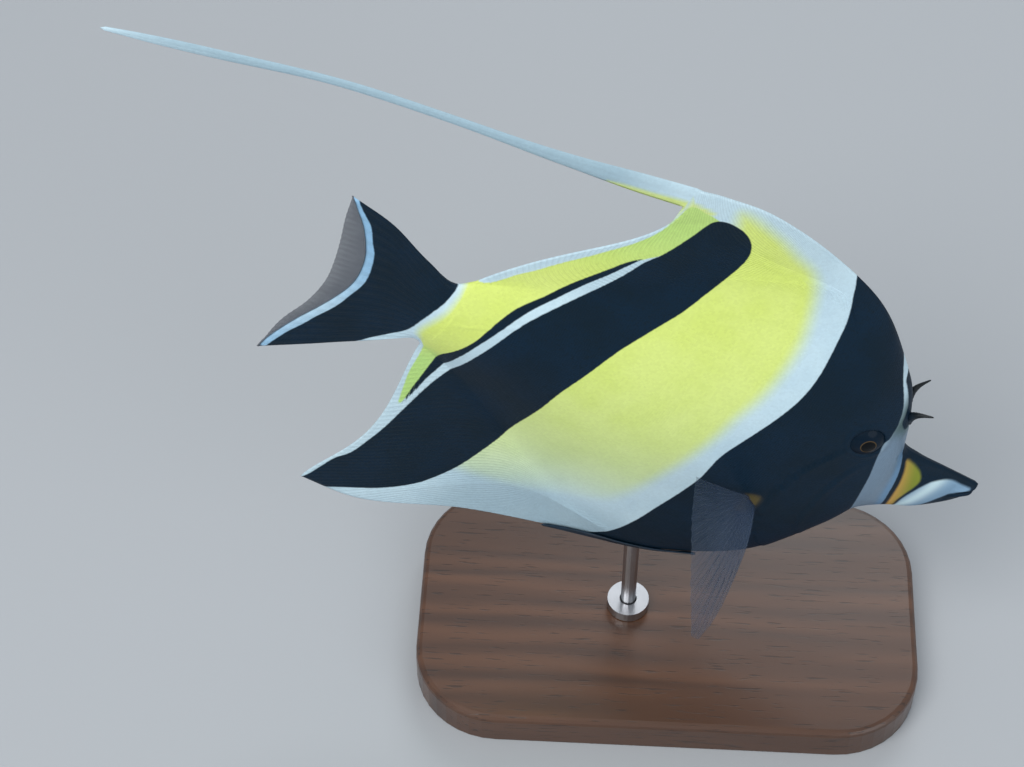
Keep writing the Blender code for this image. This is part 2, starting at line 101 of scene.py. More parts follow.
# How far out the pelvic fin lies, as (run, at its top, at its foot)
PELVIC_OUT = [(0, 3.2, 1.75), (0.3, 2.95, 1.5), (0.5, 2.35, 1.15), (0.7, 1.3, 0.75),
              (0.9, 0.75, 0.6), (1, 0.7, 0.6)]

# Colour patches on the flank, as closed outlines of (x, z)
FRONT_BAR = [(54.2, 40.5), (55.3, 36.3), (57.3, 30.7), (58.3, 24.0), (58.7, 19.0), (58.3, 14.0),
             (57.0, 8.8), (54.9, 2.0), (53.5, -4.0), (53.5, -11.0), (52.8, -17.0), (51.8, -24.0),
             (51.2, -30.5), (50.2, -36.5), (48.2, -41.0), (45.0, -43.5), (39.5, -44.6), (36.0, -47.5),
             (50.0, -50.0), (68.0, -46.0), (82.0, -34.0), (86.0, -18.0), (82.6, -13.8), (80.9, -9.0),
             (79.4, -3.6), (78.0, 2.2), (76.9, 6.0), (76.0, 10.0), (76.4, 12.4), (76.1, 15.2), (75.1, 18.0),
             (72.4, 22.3), (70.0, 27.0), (68.0, 33.0), (61.0, 40.0)]
REAR_BAR = [(31.0, 39.9), (33.8, 39.5), (36.0, 38.2), (37.3, 36.2), (37.6, 33.6), (36.9, 29.8), (35.9, 26.0),
            (34.0, 20.5), (31.2, 15.0), (28.4, 9.5), (26.2, 3.5), (24.2, -3.5), (23.6, -10.0),
            (23.1, -17.0), (22.5, -24.0), (21.3, -29.7), (19.9, -34.9), (18.0, -39.3), (15.2, -43.8),
            (10.3, -48.0), (4.1, -51.1), (-1.5, -53.6), (-3.2, -52.6), (-2.0, -49.6), (-1.1, -47.0),
            (0.2, -43.5), (2.0, -40.9), (3.4, -36.2), (4.4, -32.0), (5.2, -27.0), (6.0, -21.5),
            (6.6, -17.8), (7.4, -14.1), (8.1, -11.6), (8.5, -9.2), (8.9, -6.0), (9.4, -3.0), (10.2, 0.1),
            (11.1, 2.8), (12.1, 5.3), (13.5, 7.8),
            (16.7, 12.4), (19.6, 16.8), (21.1, 19.5), (22.6, 22.6), (24.2, 26.6), (25.8, 29.2), (27.0, 32.1),
            (28.0, 35.0), (28.6, 37.2), (29.4, 39.2)]
BLACK_LINE = [(23.6, 27.0), (22.8, 25.6), (21.8, 23.8), (20.3, 21.1), (18.7, 18.6), (16.0, 13.9),
              (12.8, 9.3), (11.4, 6.8), (10.3, 4.5), (9.3, 2.1), (8.3, -0.7), (7.7, -3.4), (7.2, -6.3),
              (6.9, -9.3), (6.4, -11.9), (5.7, -15.6), (5.3, -19.4), (4.6, -24.0), (4.5, -20.4),
              (4.6, -16.5), (4.7, -13.6), (4.8, -10.6), (4.9, -7.6), (5.6, -5.5), (6.8, -2.2), (7.7, 0.7),
              (8.5, 3.8), (9.5, 6.5), (10.7, 8.8), (12.2, 10.7), (14.0, 13.0), (16.4, 17.2), (18.1, 19.8),
              (19.8, 22.3), (21.4, 24.7), (22.6, 26.2)]
TAIL_FIELD = [(1.6, 9.6), (1.1, 7.5), (0.6, 5.5), (0.2, 4.1), (-0.4, 2.4), (-0.9, 0.6), (-1.4, -1.3),
              (-2.0, -4.0), (-2.8, -5.8), (-4.3, -7.8), (-6.2, -10.0), (-9.6, -14.2), (-14.0, -18.5),
              (-21.5, -23.5), (-20.7, -20.8), (-20.1, -18.9), (-18.9, -15.7), (-17.3, -12.5),
              (-16.0, -9.6), (-14.6, -6.9), (-13.7, -4.6), (-13.0, -2.0), (-12.3, 0.3), (-12.1, 2.4),
              (-12.4, 5.1), (-13.2, 8.4), (-14.4, 10.8), (-16.0, 14.1), (-17.8, 16.2), (-19.6, 18.4),
              (-20.2, 20.0), (-17.0, 21.0), (-8.0, 15.5), (-1.0, 11.6)]
SNOUT_MASK = [(83.6, 7.6), (82.4, 6.0), (83.2, 4.4), (83.7, 3.1), (84.2, 1.2), (84.6, -0.8), (85.1, -3.2),
              (85.8, -5.7), (86.5, -8.0), (87.8, -11.5), (93.0, -14.0), (101.5, -8.0), (102.0, 4.0),
              (93.0, 5.5), (87.0, 7.0)]
HORN_PATCH = [(73.1, 22.4), (74.9, 19.7), (76.3, 17.4), (76.8, 15.7), (76.9, 14.6), (77.5, 13.6),
              (78.6, 13.0), (79.6, 13.6), (82.5, 15.0), (79.0, 21.0), (75.0, 24.5)]
LEMON_FLANK = [(32.0, 43.0), (39.8, 41.0), (44.6, 38.5), (47.9, 36.9), (50.1, 34.4), (52.0, 29.9),
               (53.6, 23.5), (53.7, 17.4), (53.0, 11.2), (51.6, 5.5), (51.0, 0.9), (50.3, -3.6), (49.4, -8.6),
               (48.3, -14.0), (47.3, -19.4), (46.2, -24.6), (44.4, -29.6), (39.0, -34.5), (30.6, -36.5),
               (16.0, -34.1), (19.0, -10.0), (24.0, 5.0), (31.0, 25.0), (33.0, 37.0)]
LEMON_REAR = [(31.0, 38.8), (29.6, 39.8), (27.4, 40.3), (25.2, 40.7), (24.1, 39.4), (24.0, 36.4),
              (23.2, 33.3), (21.7, 30.4), (20.0, 28.0), (18.2, 25.9), (16.3, 23.6), (14.4, 21.6),
              (12.2, 19.1), (10.2, 16.6), (8.2, 14.5), (6.8, 12.6), (5.4, 10.8), (4.3, 10.2), (2.4, 9.9),
              (2.1, 8.3), (2.0, 6.7), (1.4, 3.7), (0.8, 1.8), (0.1, -0.1), (-0.6, -2.4), (-0.5, -4.3),
              (1.1, -6.7), (2.1, -8.9), (2.3, -12.0), (2.5, -15.9), (3.1, -19.4), (3.6, -22.2),
              (4.2, -24.6), (4.9, -20.0), (5.3, -12.0), (6.3, -5.0), (8.6, 1.5), (11.8, 8.5), (16.2, 14.8),
              (19.6, 21.4), (22.4, 25.6), (24.8, 28.0), (26.6, 30.0), (28.4, 34.2), (29.4, 37.0)]
SADDLE = [(84.6, 3.5), (84.9, 2.6), (85.3, 1.1), (85.7, -0.7), (86.1, -2.8), (86.6, -5.1), (87.3, -7.4),
          (88.9, -10.5), (89.7, -10.0), (88.6, -7.6), (88.1, -5.4), (88.4, -3.0), (88.9, -1.3), (89.1, 0.3),
          (88.6, 1.4), (87.5, 2.4), (86.0, 3.1)]
SNOUT_STRIPE = [(89.9, -10.4), (89.0, -7.0), (88.8, -4.8), (89.3, -2.8), (90.1, -1.0), (91.2, 0.4),
                (92.2, 1.0), (93.6, 1.5), (95.0, 1.6), (96.5, 1.3), (97.8, 1.1), (98.7, 0.9), (98.2, 0.3),
                (97.0, -0.5), (95.7, -1.7), (94.7, -3.2), (93.8, -5.2), (92.6, -7.8), (91.4, -9.4)]
STREAMER_TINT = [(29.0, 40.6), (25.0, 41.4), (19.0, 40.8), (11.5, 39.9), (11.0, 38.7), (18.0, 38.0),
                 (25.0, 38.4)]
BLACK_PATCHES = (FRONT_BAR, REAR_BAR, BLACK_LINE, TAIL_FIELD, SNOUT_MASK, HORN_PATCH)
PECTORAL_PATCH = [(62.4, -11.0), (64.6, -10.6), (65.0, -13.0), (64.4, -15.8), (62.8, -15.9), (62.6, -13.5)]

# Lines of relief on the head, as (z, x)
GILL_COVER = [(-30, 78.5), (-26, 73.0), (-20, 68.8), (-13, 66.4), (-6, 66.2), (1, 67.6), (8, 71.0)]
CHEEK_BONE = [(-22, 79.0), (-17.6, 75.4), (-10, 73.6), (-3, 73.4), (3, 74.6), (6, 76.0)]
# The lateral line, as (x, z)
LATERAL_LINE = [(2, 1.0), (10, 4.5), (18, 9.5), (27, 16.0), (36, 21.5), (46, 25.5), (55, 25.5),
                (62, 21.5), (68, 14.0)]

# The skin's grid, and how much its columns close up towards the fins' edges
FIN_COLUMNS, BODY_COLUMNS = 32, 96
TAIL_ROWS, STREAMER_ROWS = 44, 120
EDGE_CROWDING = 0.7

# Fin rays: how many, and the station that the first one of each upright fin starts from
DORSAL_RAYS, ANAL_RAYS, TAIL_RAYS, PECTORAL_RAYS, PELVIC_RAYS = 40, 33, 17, 18, 5
DORSAL_RAY_START, ANAL_RAY_START = 11.0, 12.0
# How deep a ray's middle lies under the skin, as a share of its half thickness
RAY_DEPTH = 0.68
RAY_SIDES, THINNEST_RAY = 6, 0.03
# Stretches of a ray, as (spread, start, end): its stem, and the two branches that it parts in
TAIL_STRETCHES = ((0.0, 0.12, 0.6), (-0.03, 0.55, 0.975), (0.03, 0.55, 0.975))
PECTORAL_STRETCHES = ((0.0, -0.03, 0.6), (-0.25, 0.55, 0.97), (0.25, 0.55, 0.97))
UPRIGHT_STEM, UPRIGHT_BRANCHES = (0.0, -0.06, 0.56), ((-0.27, 0.5, 0.985), (0.27, 0.5, 0.985))
# Rays further back than this share of the fin are too short to part
LAST_PARTED = 0.94
UPRIGHT_RAY_POINTS, RAY_POINTS = 20, 14
SIDES = (-1, 1)

# The camera, fitted to the photograph
CAMERA_TARGET = Vector((-40.82, -12.03, 118.07)) * MM
CAMERA_AZIMUTH, CAMERA_ELEVATION = math.radians(3.02), math.radians(51.58)
CAMERA_DISTANCE = 549.27 * MM
CAMERA_LENS, SENSOR_WIDTH = 84.375, 36.0

# The lamps, as (name, place, size, power, tint), and the place they all point at
LIGHT_AIM = Vector((-0.04, 0.0, 0.11))
LAMPS = [("key_light", (-0.45, -0.55, 1.05), 0.8, 9.0, (1.0, 0.99, 0.97)),
         ("fill_light", (0.75, -0.75, 0.55), 0.9, 3.2, (0.93, 0.97, 1.0)),
         ("back_light", (0.2, 0.9, 0.8), 0.7, 4.0, (0.95, 0.98, 1.0))]
SKY_TINT, SKY_STRENGTH = (0.86, 0.92, 1.0, 1.0), 0.45
FLOOR_REACH, FLOOR_DROP = 3.0, 0.3 * MM


# Placing the fish

def turned(points):
    """Fish points in percent, pitched nose-down, in metres from the tail base."""
    x, y, z = np.moveaxis(np.asarray(points, dtype=float), -1, 0) * PERCENT
    cos, sin = math.cos(PITCH_DOWN), math.sin(PITCH_DOWN)
    return np.stack([x * cos + z * sin, y, z * cos - x * sin], axis=-1)


def eye_middle():
    corners = [corner for side in ("right", "left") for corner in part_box("eye_" + side)]
    return np.mean([np.array(corner) for corner in corners], axis=0)


tail_base = eye_middle() - turned((EYE_X, 0.0, EYE_Z))


def placed(points):
    """Fish points in percent, as metres in the frame."""
    return turned(points) + tail_base


# Curves and outlines

def length(vectors):
    return np.linalg.norm(vectors, axis=-1)


def unit(vectors):
    """Vectors brought to a length of 1."""
    return vectors / np.linalg.norm(vectors, axis=-1, keepdims=True)


def grid_of(rows, columns):
    """The values of the rows and of the columns, each at every point of their grid."""
    return np.meshgrid(rows, columns, indexing="ij")


def hermite(t, span, start, end, leave, arrive):
    """The smooth way from start to end over a span, given its slopes at both."""
    held = (2 * t ** 3 - 3 * t ** 2 + 1) * start + (3 * t ** 2 - 2 * t ** 3) * end
    bent = (t ** 3 - 2 * t ** 2 + t) * leave + (t ** 3 - t ** 2) * arrive
    return held + span * bent


def spline(points, at):
    """Smooth curve through rows of (parameter, values...), read at an array of parameters."""
    rows = np.array(points, dtype=float)
    knots, values = rows[:, 0], rows[:, 1:]
    at = np.clip(np.asarray(at, dtype=float), knots[0], knots[-1])
    slopes = np.gradient(values, knots, axis=0)
    k = np.clip(np.searchsorted(knots, at, side="right") - 1, 0, len(knots) - 2)
    span = (knots[k + 1] - knots[k])[..., None]
    t = (at - knots[k])[..., None] / span
    return hermite(t, span, values[k], values[k + 1], slopes[k], slopes[k + 1])


def curve(points, at):
    """One value along a smooth curve, read at an array of parameters."""
    return spline(points, at)[..., 0]


def ramp(at, start, run):
    """0 up to the start, 1 past the run, smooth between."""
    t = np.clip((np.asarray(at, dtype=float) - start) / run, 0.0, 1.0)
    return t * t * (3 - 2 * t)


def rounding(distance, radius):
    """How full a rounded edge is at a distance from it: 0 on the edge, 1 past the radius."""
    t = np.clip(distance / radius, 0.0, 1.0)
    return np.sqrt(1 - (1 - t) ** 2)


def hump(distance, width):
    return np.exp(-(distance / width) ** 2)


def smooth_loop(outline, per_side=6):
    """A closed smooth curve through the points of an outline."""
    points = np.array(outline, dtype=float)
    ahead = np.roll(points, -1, axis=0)
    span = length(ahead - points)[:, None]
    slope = (ahead - np.roll(points, 1, axis=0)) / (span + np.roll(span, 1, axis=0))
    steps = [hermite(t, span, points, ahead, slope, np.roll(slope, -1, axis=0))
             for t in np.arange(per_side) / per_side]
    return np.stack(steps, axis=1).reshape(-1, 2)


def inside_by(outline, x, z):
    """How deep each point lies inside a closed outline, in percent; negative outside."""
    loop = smooth_loop(outline)
    nearest = np.full(x.shape, np.inf)
    inside = np.zeros(x.shape, dtype=bool)
    for (ax, az), (bx, bz) in zip(loop, np.roll(loop, -1, axis=0)):
        dx, dz = bx - ax, bz - az
        t = np.clip(((x - ax) * dx + (z - az) * dz) / (dx * dx + dz * dz), 0, 1)
        nearest = np.minimum(nearest, np.hypot(x - ax - t * dx, z - az - t * dz))
        if dz != 0:
            inside ^= ((az > z) != (bz > z)) & (x < ax + (z - az) / dz * dx)
    return np.where(inside, nearest, -nearest)


def ahead_of(line, along, across):
    """Signed distance from an open line given as (along, across)."""
    slope = curve(line, along + 0.5) - curve(line, along - 0.5)
    return (across - curve(line, along)) / np.sqrt(1 + slope ** 2)


# The fish's form

def station(s):
    """The four corner points of each station: belly edge, anal base, dorsal base, back edge."""
    back, belly = spline(BACK_EDGE, s), spline(BELLY_EDGE, s)
    grown = ramp(s, 8.0, 2.5)[..., None]
    dorsal = (1 - grown) * (back + EDGE_SHARE * (belly - back)) + grown * spline(DORSAL_BASE, s)
    anal = (1 - grown) * (belly + EDGE_SHARE * (back - belly)) + grown * spline(ANAL_BASE, s)
    return belly, anal, dorsal, back


def across(chord, turn):
    """The unit vector square to each chord."""
    return unit(np.stack([chord[..., 1], -chord[..., 0]], axis=-1) * turn)


def flank_point(s, v):
    """Points of the fish's middle plane.

    v runs from the belly edge (-1) over the anal base (-0.5) and the dorsal base (0.5)
    to the back edge (1)."""
    belly, anal, dorsal, back = station(s)
    swept = ramp(s, 10.0, TAIL_STATION - 10.0)[..., None]
    high = np.clip(2 * v - 1, 0, 1)[..., None]
    low = np.clip(-2 * v - 1, 0, 1)[..., None]
    up, down = back - dorsal, belly - anal
    upper = dorsal + high * up + swept * DORSAL_BOW * np.sin(math.pi * high ** 2.05) * across(up, 1)
    anal_bow = ANAL_BOW * np.sin(math.pi * low ** 1.25) * (1 - 0.9 * low ** 6)
    lower = anal + low * down + swept * anal_bow * across(down, -1)
    middle = anal + (v + 0.5)[..., None] * (dorsal - anal)
    return np.where(v[..., None] > 0.5, upper, np.where(v[..., None] < -0.5, lower, middle))


def flank_half(s, v):
    """Half thickness of the fish, in percent."""
    belly, anal, dorsal, back = station(s)
    below = length(anal - belly)
    middle = length(dorsal - anal)
    above = length(back - dorsal)
    run = below * np.clip(2 * v + 2, 0, 1) + middle * np.clip(v + 0.5, 0, 1)
    run = run + above * np.clip(2 * v - 1, 0, 1)
    whole = 2 * run / (below + middle + above) - 1
    body = 2 * (run - below) / middle - 1
    full = curve(HALF_WIDTH, s)
    rounded = full * np.clip(1 - np.abs(whole) ** 2.3, 0, 1) ** 0.56
    out = np.clip(np.abs(v) - 0.5, 0, 0.5) * 2
    base = FIN_BASE_HALF * (1 - 0.75 * ramp(s, 14.6, 2.4))
    fin = FIN_EDGE_HALF + (base - FIN_EDGE_HALF) * (1 - out) ** 1.3
    # The keeled section fills out to the round one of the tail stalk
    hollow = 1.65 - 0.7 * ramp(s, 14.8, 2.2)
    keeled = fin + (full - base) * np.clip(1 - body * body, 0, 1) ** hollow
    sharp_back = ramp(s, 7.5, 3.5)
    sharp_belly = ramp(s, 9.6, 3.0)
    sharp = sharp_belly + (sharp_back - sharp_belly) * ramp(v, -0.4, 0.8)
    return (1 - sharp) * rounded + sharp * keeled


def tail_point(c, v, bow):
    """Points of the tail fin, with c from its root (0) to its hind edge (1) and v from -1 to 1."""
    upper, lower = spline(TAIL_UPPER, c), spline(TAIL_LOWER, c)
    t = ((v + 1) / 2)[..., None]
    hollow = spline(bow, t[..., 0]) * ramp(c, 0.3, 0.7)[..., None]
    return lower + t * (upper - lower) + hollow * (1.0, 0.0)


def tail_half(c, v):
    full = curve(TAIL_HALF, c)
    rounded = full * np.clip(1 - np.abs(v) ** 2.2, 0, 1) ** 0.85
    flat = full * (1 - 0.35 * np.abs(v) ** 2)
    flatness = ramp(c, 0.0, 0.4)
    return (1 - flatness) * rounded + flatness * flat


def mouth_z(x):
    return 0.42 - 0.42 * (100 - x)


def relief(x, z):
    """Small forms of the skin, added to the half thickness, in percent."""
    raised = np.zeros_like(x)
    # The gill cover stands proud along its free hind edge, with a furrow behind it
    behind = ahead_of(GILL_COVER, z, x)
    reach = ramp(z, -30, 5) * (1 - ramp(z, 5, 4))
    raised += reach * np.where(behind > 0, 0.34 * np.exp(-np.clip(behind, 0, 9) / 2.0), 0)
    raised -= reach * 0.22 * np.where(behind < 0, np.exp(np.clip(behind, -9, 0) / 0.5), 0)
    cheek = ahead_of(CHEEK_BONE, z, x)
    reach = ramp(z, -23, 5) * (1 - ramp(z, 2, 4))
    raised += reach * (0.16 * hump(cheek - 0.3, 0.55) - 0.10 * hump(cheek + 0.7, 0.45))
    # Rim of the eye, brow under the horn, root pad of the pectoral fin
    from_eye = from_pole(x, z)
    raised += 0.20 * hump(from_eye - 3.35, 0.40) - 0.08 * hump(from_eye - 4.4, 0.5)
    raised += 0.55 * hump(np.hypot(x - HORN_BASE[0], z - HORN_BASE[2] + 0.9), 1.5)
    raised += 0.45 * hump(np.hypot((x - 64.3) / 1.3, (z + 13.3) / 2.2), 1.0)
    # Two nostrils on each side
    for nostril_x, nostril_z, size in ((81.2, 6.6, 0.42), (82.4, 5.4, 0.34)):
        away = np.hypot(x - nostril_x, z - nostril_z)
        raised += 0.12 * hump(away - 1.6 * size, 0.25) - 0.5 * hump(away, size)
    # Mouth slit and lips
    gape = z - mouth_z(x)
    raised -= 0.60 * hump(gape, 0.20) * ramp(x, 96.9, 1.0)
    raised += 0.26 * (hump(gape - 0.75, 0.42) + hump(gape + 0.8, 0.45)) * ramp(x, 96.0, 1.4)
    raised -= 0.12 * hump(x - 95.9, 0.45) * ramp(-np.abs(gape), -2.6, 1.0)
    # Lateral line
    line = z - curve(LATERAL_LINE, x)
    raised += 0.09 * hump(line, 0.30) * ramp(x, 2, 3) * (1 - ramp(x, 66, 3))
    return raised


def from_pole(x, z):
    """Distance from where the eye's tilted axis leaves the head."""
    return np.hypot(x - EYE_X - EYE_TILT[0] * EYE_DEPTH, z - EYE_Z - EYE_TILT[1] * EYE_DEPTH)


def sunk_for_eye(x, z, half):
    """Drop the skin under the eyeball, so that the ball shows in a round rim."""
    return half - 0.9 * (1 - ramp(from_pole(x, z), 2.25, 0.6))


def edge_spread(count):
    """Values from 0 to 1 that close up towards 1."""
    left = 1 - np.arange(count + 1) / count
    return 1 - ((1 - EDGE_CROWDING) * left + EDGE_CROWDING * left ** 2)


def station_rows():
    """Stations of the skin's rows, closer where the outline or the colours turn fast."""
    tip = [0, 0.012, 0.035, 0.07, 0.12, 0.18, 0.26]
    hind = [16.93, 16.955, 16.975, 16.99, 17.0]
    stretches = [np.linspace(0.34, 8.4, 104, endpoint=False), np.linspace(8.4, 13.4, 52, endpoint=False),
                 np.linspace(13.4, 16.9, 92)]
    return np.concatenate([tip, *stretches, hind])


def skin_columns():
    fin = 0.5 + 0.5 * edge_spread(FIN_COLUMNS)
    body = np.linspace(-0.5, 0.5, BODY_COLUMNS + 1)
    return np.concatenate([-fin[::-1], body[1:-1], fin])


def streamer_section(v):
    w = np.clip((2 * v - 1 - STREAMER_SHARE) / (1 - STREAMER_SHARE), 0, 1)
    return STREAMER_THICK * np.sqrt(np.clip(1 - (2 * w - 1) ** 2, 0, 1))


def joined_section(v):
    """Half thickness where the body's last row runs on into the tail stalk and the streamer."""
    stalk = np.where(np.abs(v) < 0.5, tail_half(np.zeros_like(v), np.clip(2 * v, -1, 1)), 0)
    return stalk + streamer_section(v)


def grid_rows(flat, half, ray, fin):
    """One array of (x, z, half thickness, ray number, fin share) for each point of a grid."""
    return np.concatenate([flat, np.stack([half, ray, fin], axis=-1)], axis=-1)


def fin_share(s, v):
    """Ray number and share of fin at each point of the body's grid."""
    out = np.clip(2 * np.abs(v) - 1, 0, 1)
    first = np.where(v > 0, DORSAL_RAY_START, ANAL_RAY_START)
    count = np.where(v > 0, DORSAL_RAYS, ANAL_RAYS)
    ray = ((s - first) / (TAIL_STATION - first) - out) * count - 0.5
    return ray, ramp(out, 0.0, 0.12) * ramp(s, 9.5, 2.5)


def gaps(flat, s, v):
    """Distances from each point to its fin's outer edge and to the last station."""
    edge = flank_point(s, np.where(v > 0, 1.0, -1.0))
    hind = flank_point(np.full_like(s, TAIL_STATION), v)
    return length(flat - edge), length(flat - hind)


def body_grid():
    """The body with its dorsal and anal fins, rows by columns."""
    s, v = grid_of(station_rows(), skin_columns())
    flat = flank_point(s, v)
    x, z = flat[..., 0], flat[..., 1]
    half = sunk_for_eye(x, z, flank_half(s, v) + relief(x, z))
    from_edge, from_tail = gaps(flat, s, v)
    from_lips = length(flat - flank_point(np.zeros_like(s), v))
    # The streamer's root swells out of the fin over the last stretch before it
    swell = (1 - ramp(from_tail, 0, 11)) * ramp(v, 0.5, 0.1)
    half = half + swell * np.clip(streamer_section(v) - half, 0, None)
    half = np.clip(half, 0.05, None) * rounding(from_edge, EDGE_ROUNDING) * rounding(from_lips, LIP_ROUNDING)
    hind = rounding(from_tail, EDGE_ROUNDING)
    half = half * hind + joined_section(v) * (1 - hind)
    # The slit of the mouth notches the tip
    flat[..., 0] -= 0.9 * hump(z - mouth_z(x), 0.16) * (1 - ramp(s, 0, 0.3))
    return grid_rows(flat, half, *fin_share(s, v))


def tail_grid():
    c, v = grid_of(np.linspace(0, 1, TAIL_ROWS + 1)[1:] ** 1.15, np.linspace(-1, 1, BODY_COLUMNS + 1))
    flat = tail_point(c, v, CRESCENT_BOW)
    hind = length(flat - tail_point(np.ones_like(c), v, CRESCENT_BOW))
    upper = length(flat - tail_point(c, np.sign(v + 1e-9), CRESCENT_BOW))
    half = tail_half(c, v) * rounding(hind, EDGE_ROUNDING) * rounding(upper, EDGE_ROUNDING * 2)
    return grid_rows(flat, half, (v / 0.94 + 1) / 2 * (TAIL_RAYS - 1), ramp(c, 0.1, 0.2))


def streamer_grid(first_row):
    """The streamer's rows, which take over from the top columns of the body's last row."""
    w = (first_row - first_row[0]) / (first_row[-1] - first_row[0])
    u, w = grid_of(np.linspace(0, 1, STREAMER_ROWS + 1)[1:], w)
    tip = rounding((1 - u) * 80, 0.8)
    flat = spline(STREAMER_LINE, u)
    flat[..., 1] += curve(STREAMER_HALF, u) * tip * (2 * w - 1)
    thick = STREAMER_THICK * (1 - 0.35 * u) * tip
    half = thick * np.sqrt(np.clip(1 - (2 * w - 1) ** 2, 0, 1))
    return grid_rows(flat, half, 3 * w, np.full_like(w, 0.4))


def grid_quads(index):
    """The faces of a grid of point numbers."""
    corners = (index[:-1, :-1], index[1:, :-1], index[1:, 1:], index[:-1, 1:])
    return np.stack(corners, axis=-1).reshape(-1, 4).tolist()


def border_edges(quads):
    """The edges that belong to one face only, as pairs of point numbers."""
    edges = {edge for quad in quads for edge in zip(quad, quad[1:] + quad[:1])}
    return sorted(edge for edge in edges if edge[::-1] not in edges)


def build_skin():
    """One closed skin over the body, its upright fins and the streamer."""
    columns = skin_columns()
    wisp = int(np.argmax(columns >= 0.5 + 0.5 * STREAMER_SHARE))
    body_columns = slice(FIN_COLUMNS, FIN_COLUMNS + BODY_COLUMNS + 1)
    body = body_grid()
    index = np.arange(body[..., 0].size).reshape(body.shape[:2])
    rows, quads, last_row = [*body.reshape(-1, 5)], grid_quads(index), index[-1]
    # The tail fin and the streamer run on from the columns of the body's last row
    for grid, taken in ((tail_grid(), body_columns), (streamer_grid(columns[wisp:]), slice(wisp, None))):
        index = len(rows) + np.arange(grid[..., 0].size).reshape(grid.shape[:2])
        rows += [*grid.reshape(-1, 5)]
        quads += grid_quads(np.vstack([last_row[taken], index]))
    return two_sided("moorish_idol_skin", np.array(rows), quads)


def two_sided(name, rows, quads):
    """A closed mesh from one side's grid; its border lies in the middle plane and is shared."""
    border = sorted({point for edge in border_edges(quads) for point in edge})
    half = rows[:, 2].copy()
    half[border] = 0.0
    count = len(rows)
    free = np.setdiff1d(np.arange(count), border)
    partner = np.arange(count)
    partner[free] = count + np.arange(len(free))
    both = np.concatenate([np.arange(count), free])
    points = np.stack([rows[:, 0], -half, rows[:, 1]], axis=-1)[both]
    points[count:, 1] *= -1
    faces = quads + [partner[quad[::-1]].tolist() for quad in quads]
    made = make_mesh(name, points, faces)
    write_field(made, "ray", rows[both, 3])
    write_field(made, "fin", rows[both, 4])
    return made


def linked(name, data):
    """An object of the scene from its data."""
    made = bpy.data.objects.new(name, data)
    bpy.context.scene.collection.objects.link(made)
    return made


def make_mesh(name, fish_points, faces, weld=False):
    """An object from fish points and faces, turned outwards; weld joins points in one place."""
    mesh = bpy.data.meshes.new(name)
    mesh.from_pydata(placed(fish_points).tolist(), [], faces)
    bm = bmesh.new()
    bm.from_mesh(mesh)
    if weld:
        bmesh.ops.remove_doubles(bm, verts=bm.verts, dist=1e-7)
    bmesh.ops.recalc_face_normals(bm, faces=bm.faces)
    bm.to_mesh(mesh)
    bm.free()
    mesh.shade_smooth()
    return linked(name, mesh)


# Colour fields on a mesh

def fish_places(mesh):
    """The mesh's points back in fish percent."""
    flat = np.zeros(len(mesh.vertices) * 3)
    mesh.vertices.foreach_get("co", flat)
    x, y, z = ((flat.reshape(-1, 3) - tail_base) / PERCENT).T
    cos, sin = math.cos(PITCH_DOWN), math.sin(PITCH_DOWN)
    return x * cos - z * sin, y, x * sin + z * cos


def paint(piece):
    """Write the colour patches of the fish onto a mesh, as distances or shares at its points."""
    x, _, z = fish_places(piece.data)

    def inside(outline):
        return inside_by(outline, x, z)

    # The flank's lemon pales towards the belly, and along its edge with the front bar
    above_fade = np.clip(z + 34.0 - 0.4 * (x - 39), 0, None)
    flank = ramp(inside(LEMON_FLANK), -1.5, 3.8) * (1 - np.exp(-above_fade / 13))
    # Painted shade: the white darkens towards the underside and along the streamer
    underside = 0.6 * ramp(-z, 29, 8) * ramp(x, 14, 10)
    streamer_shade = 0.8 * ramp(z, 34, 4) * ramp(-x, -24, 14)
    # Painted sky light: the white of the tail fin takes a sky-blue tint, less towards the crescent's middle
    tail = ramp(-x, 6, 5) * ramp(-z, -30, 4)
    fields = {
        "black": np.max([inside(patch) for patch in BLACK_PATCHES], axis=0),
        "lemon_rear": inside(LEMON_REAR),
        "lemon": np.maximum(flank, 0.9 * ramp(inside(STREAMER_TINT), -0.4, 0.9)),
        "saddle": inside(SADDLE),
        "stripe": inside(SNOUT_STRIPE),
        # Painted shade: the white face ahead of the front bar is painted a shaded grey, bluer along the edge
        # of the snout's mask and darker on the brow
        "face": ramp(x, 74, 3),
        "rim": hump(inside(SNOUT_MASK) + 0.5, 0.8) * ramp(-z, -9, 4),
        "brow": ramp(z, 10, 4),
        # Painted shade of the underside and the streamer
        "belly": underside + streamer_shade,
        # Painted highlight: a pale streak across the middle of the snout stripe
        "gleam": 0.2 + 0.75 * hump(x - 0.3 * z - 92.0, 1.5),
        "sky": tail * (1 - 0.6 * hump(z + 8, 9)),
        "softness": 0.16 + 0.9 * ramp(-x, -3.5, 2.5) * ramp(z, -6.5, 2),
        # The rear yellow turns lime towards the streamer and on the anal fin
        "lime": np.maximum(0.8 * ramp(z, 16, 20), ramp(-z, 6, 5)),
        "olive": ramp(x + 0.35 * z, 84.2, 4.2),
        "ochre": ramp(inside(PECTORAL_PATCH), -0.6, 1.2),
    }
    for name, values in fields.items():
        write_field(piece, name, values)


def write_field(piece, name, values):
    field = piece.data.attributes.new(name, "FLOAT", "POINT")
    field.data.foreach_set("value", np.asarray(values, dtype=np.float32))


# Node helpers

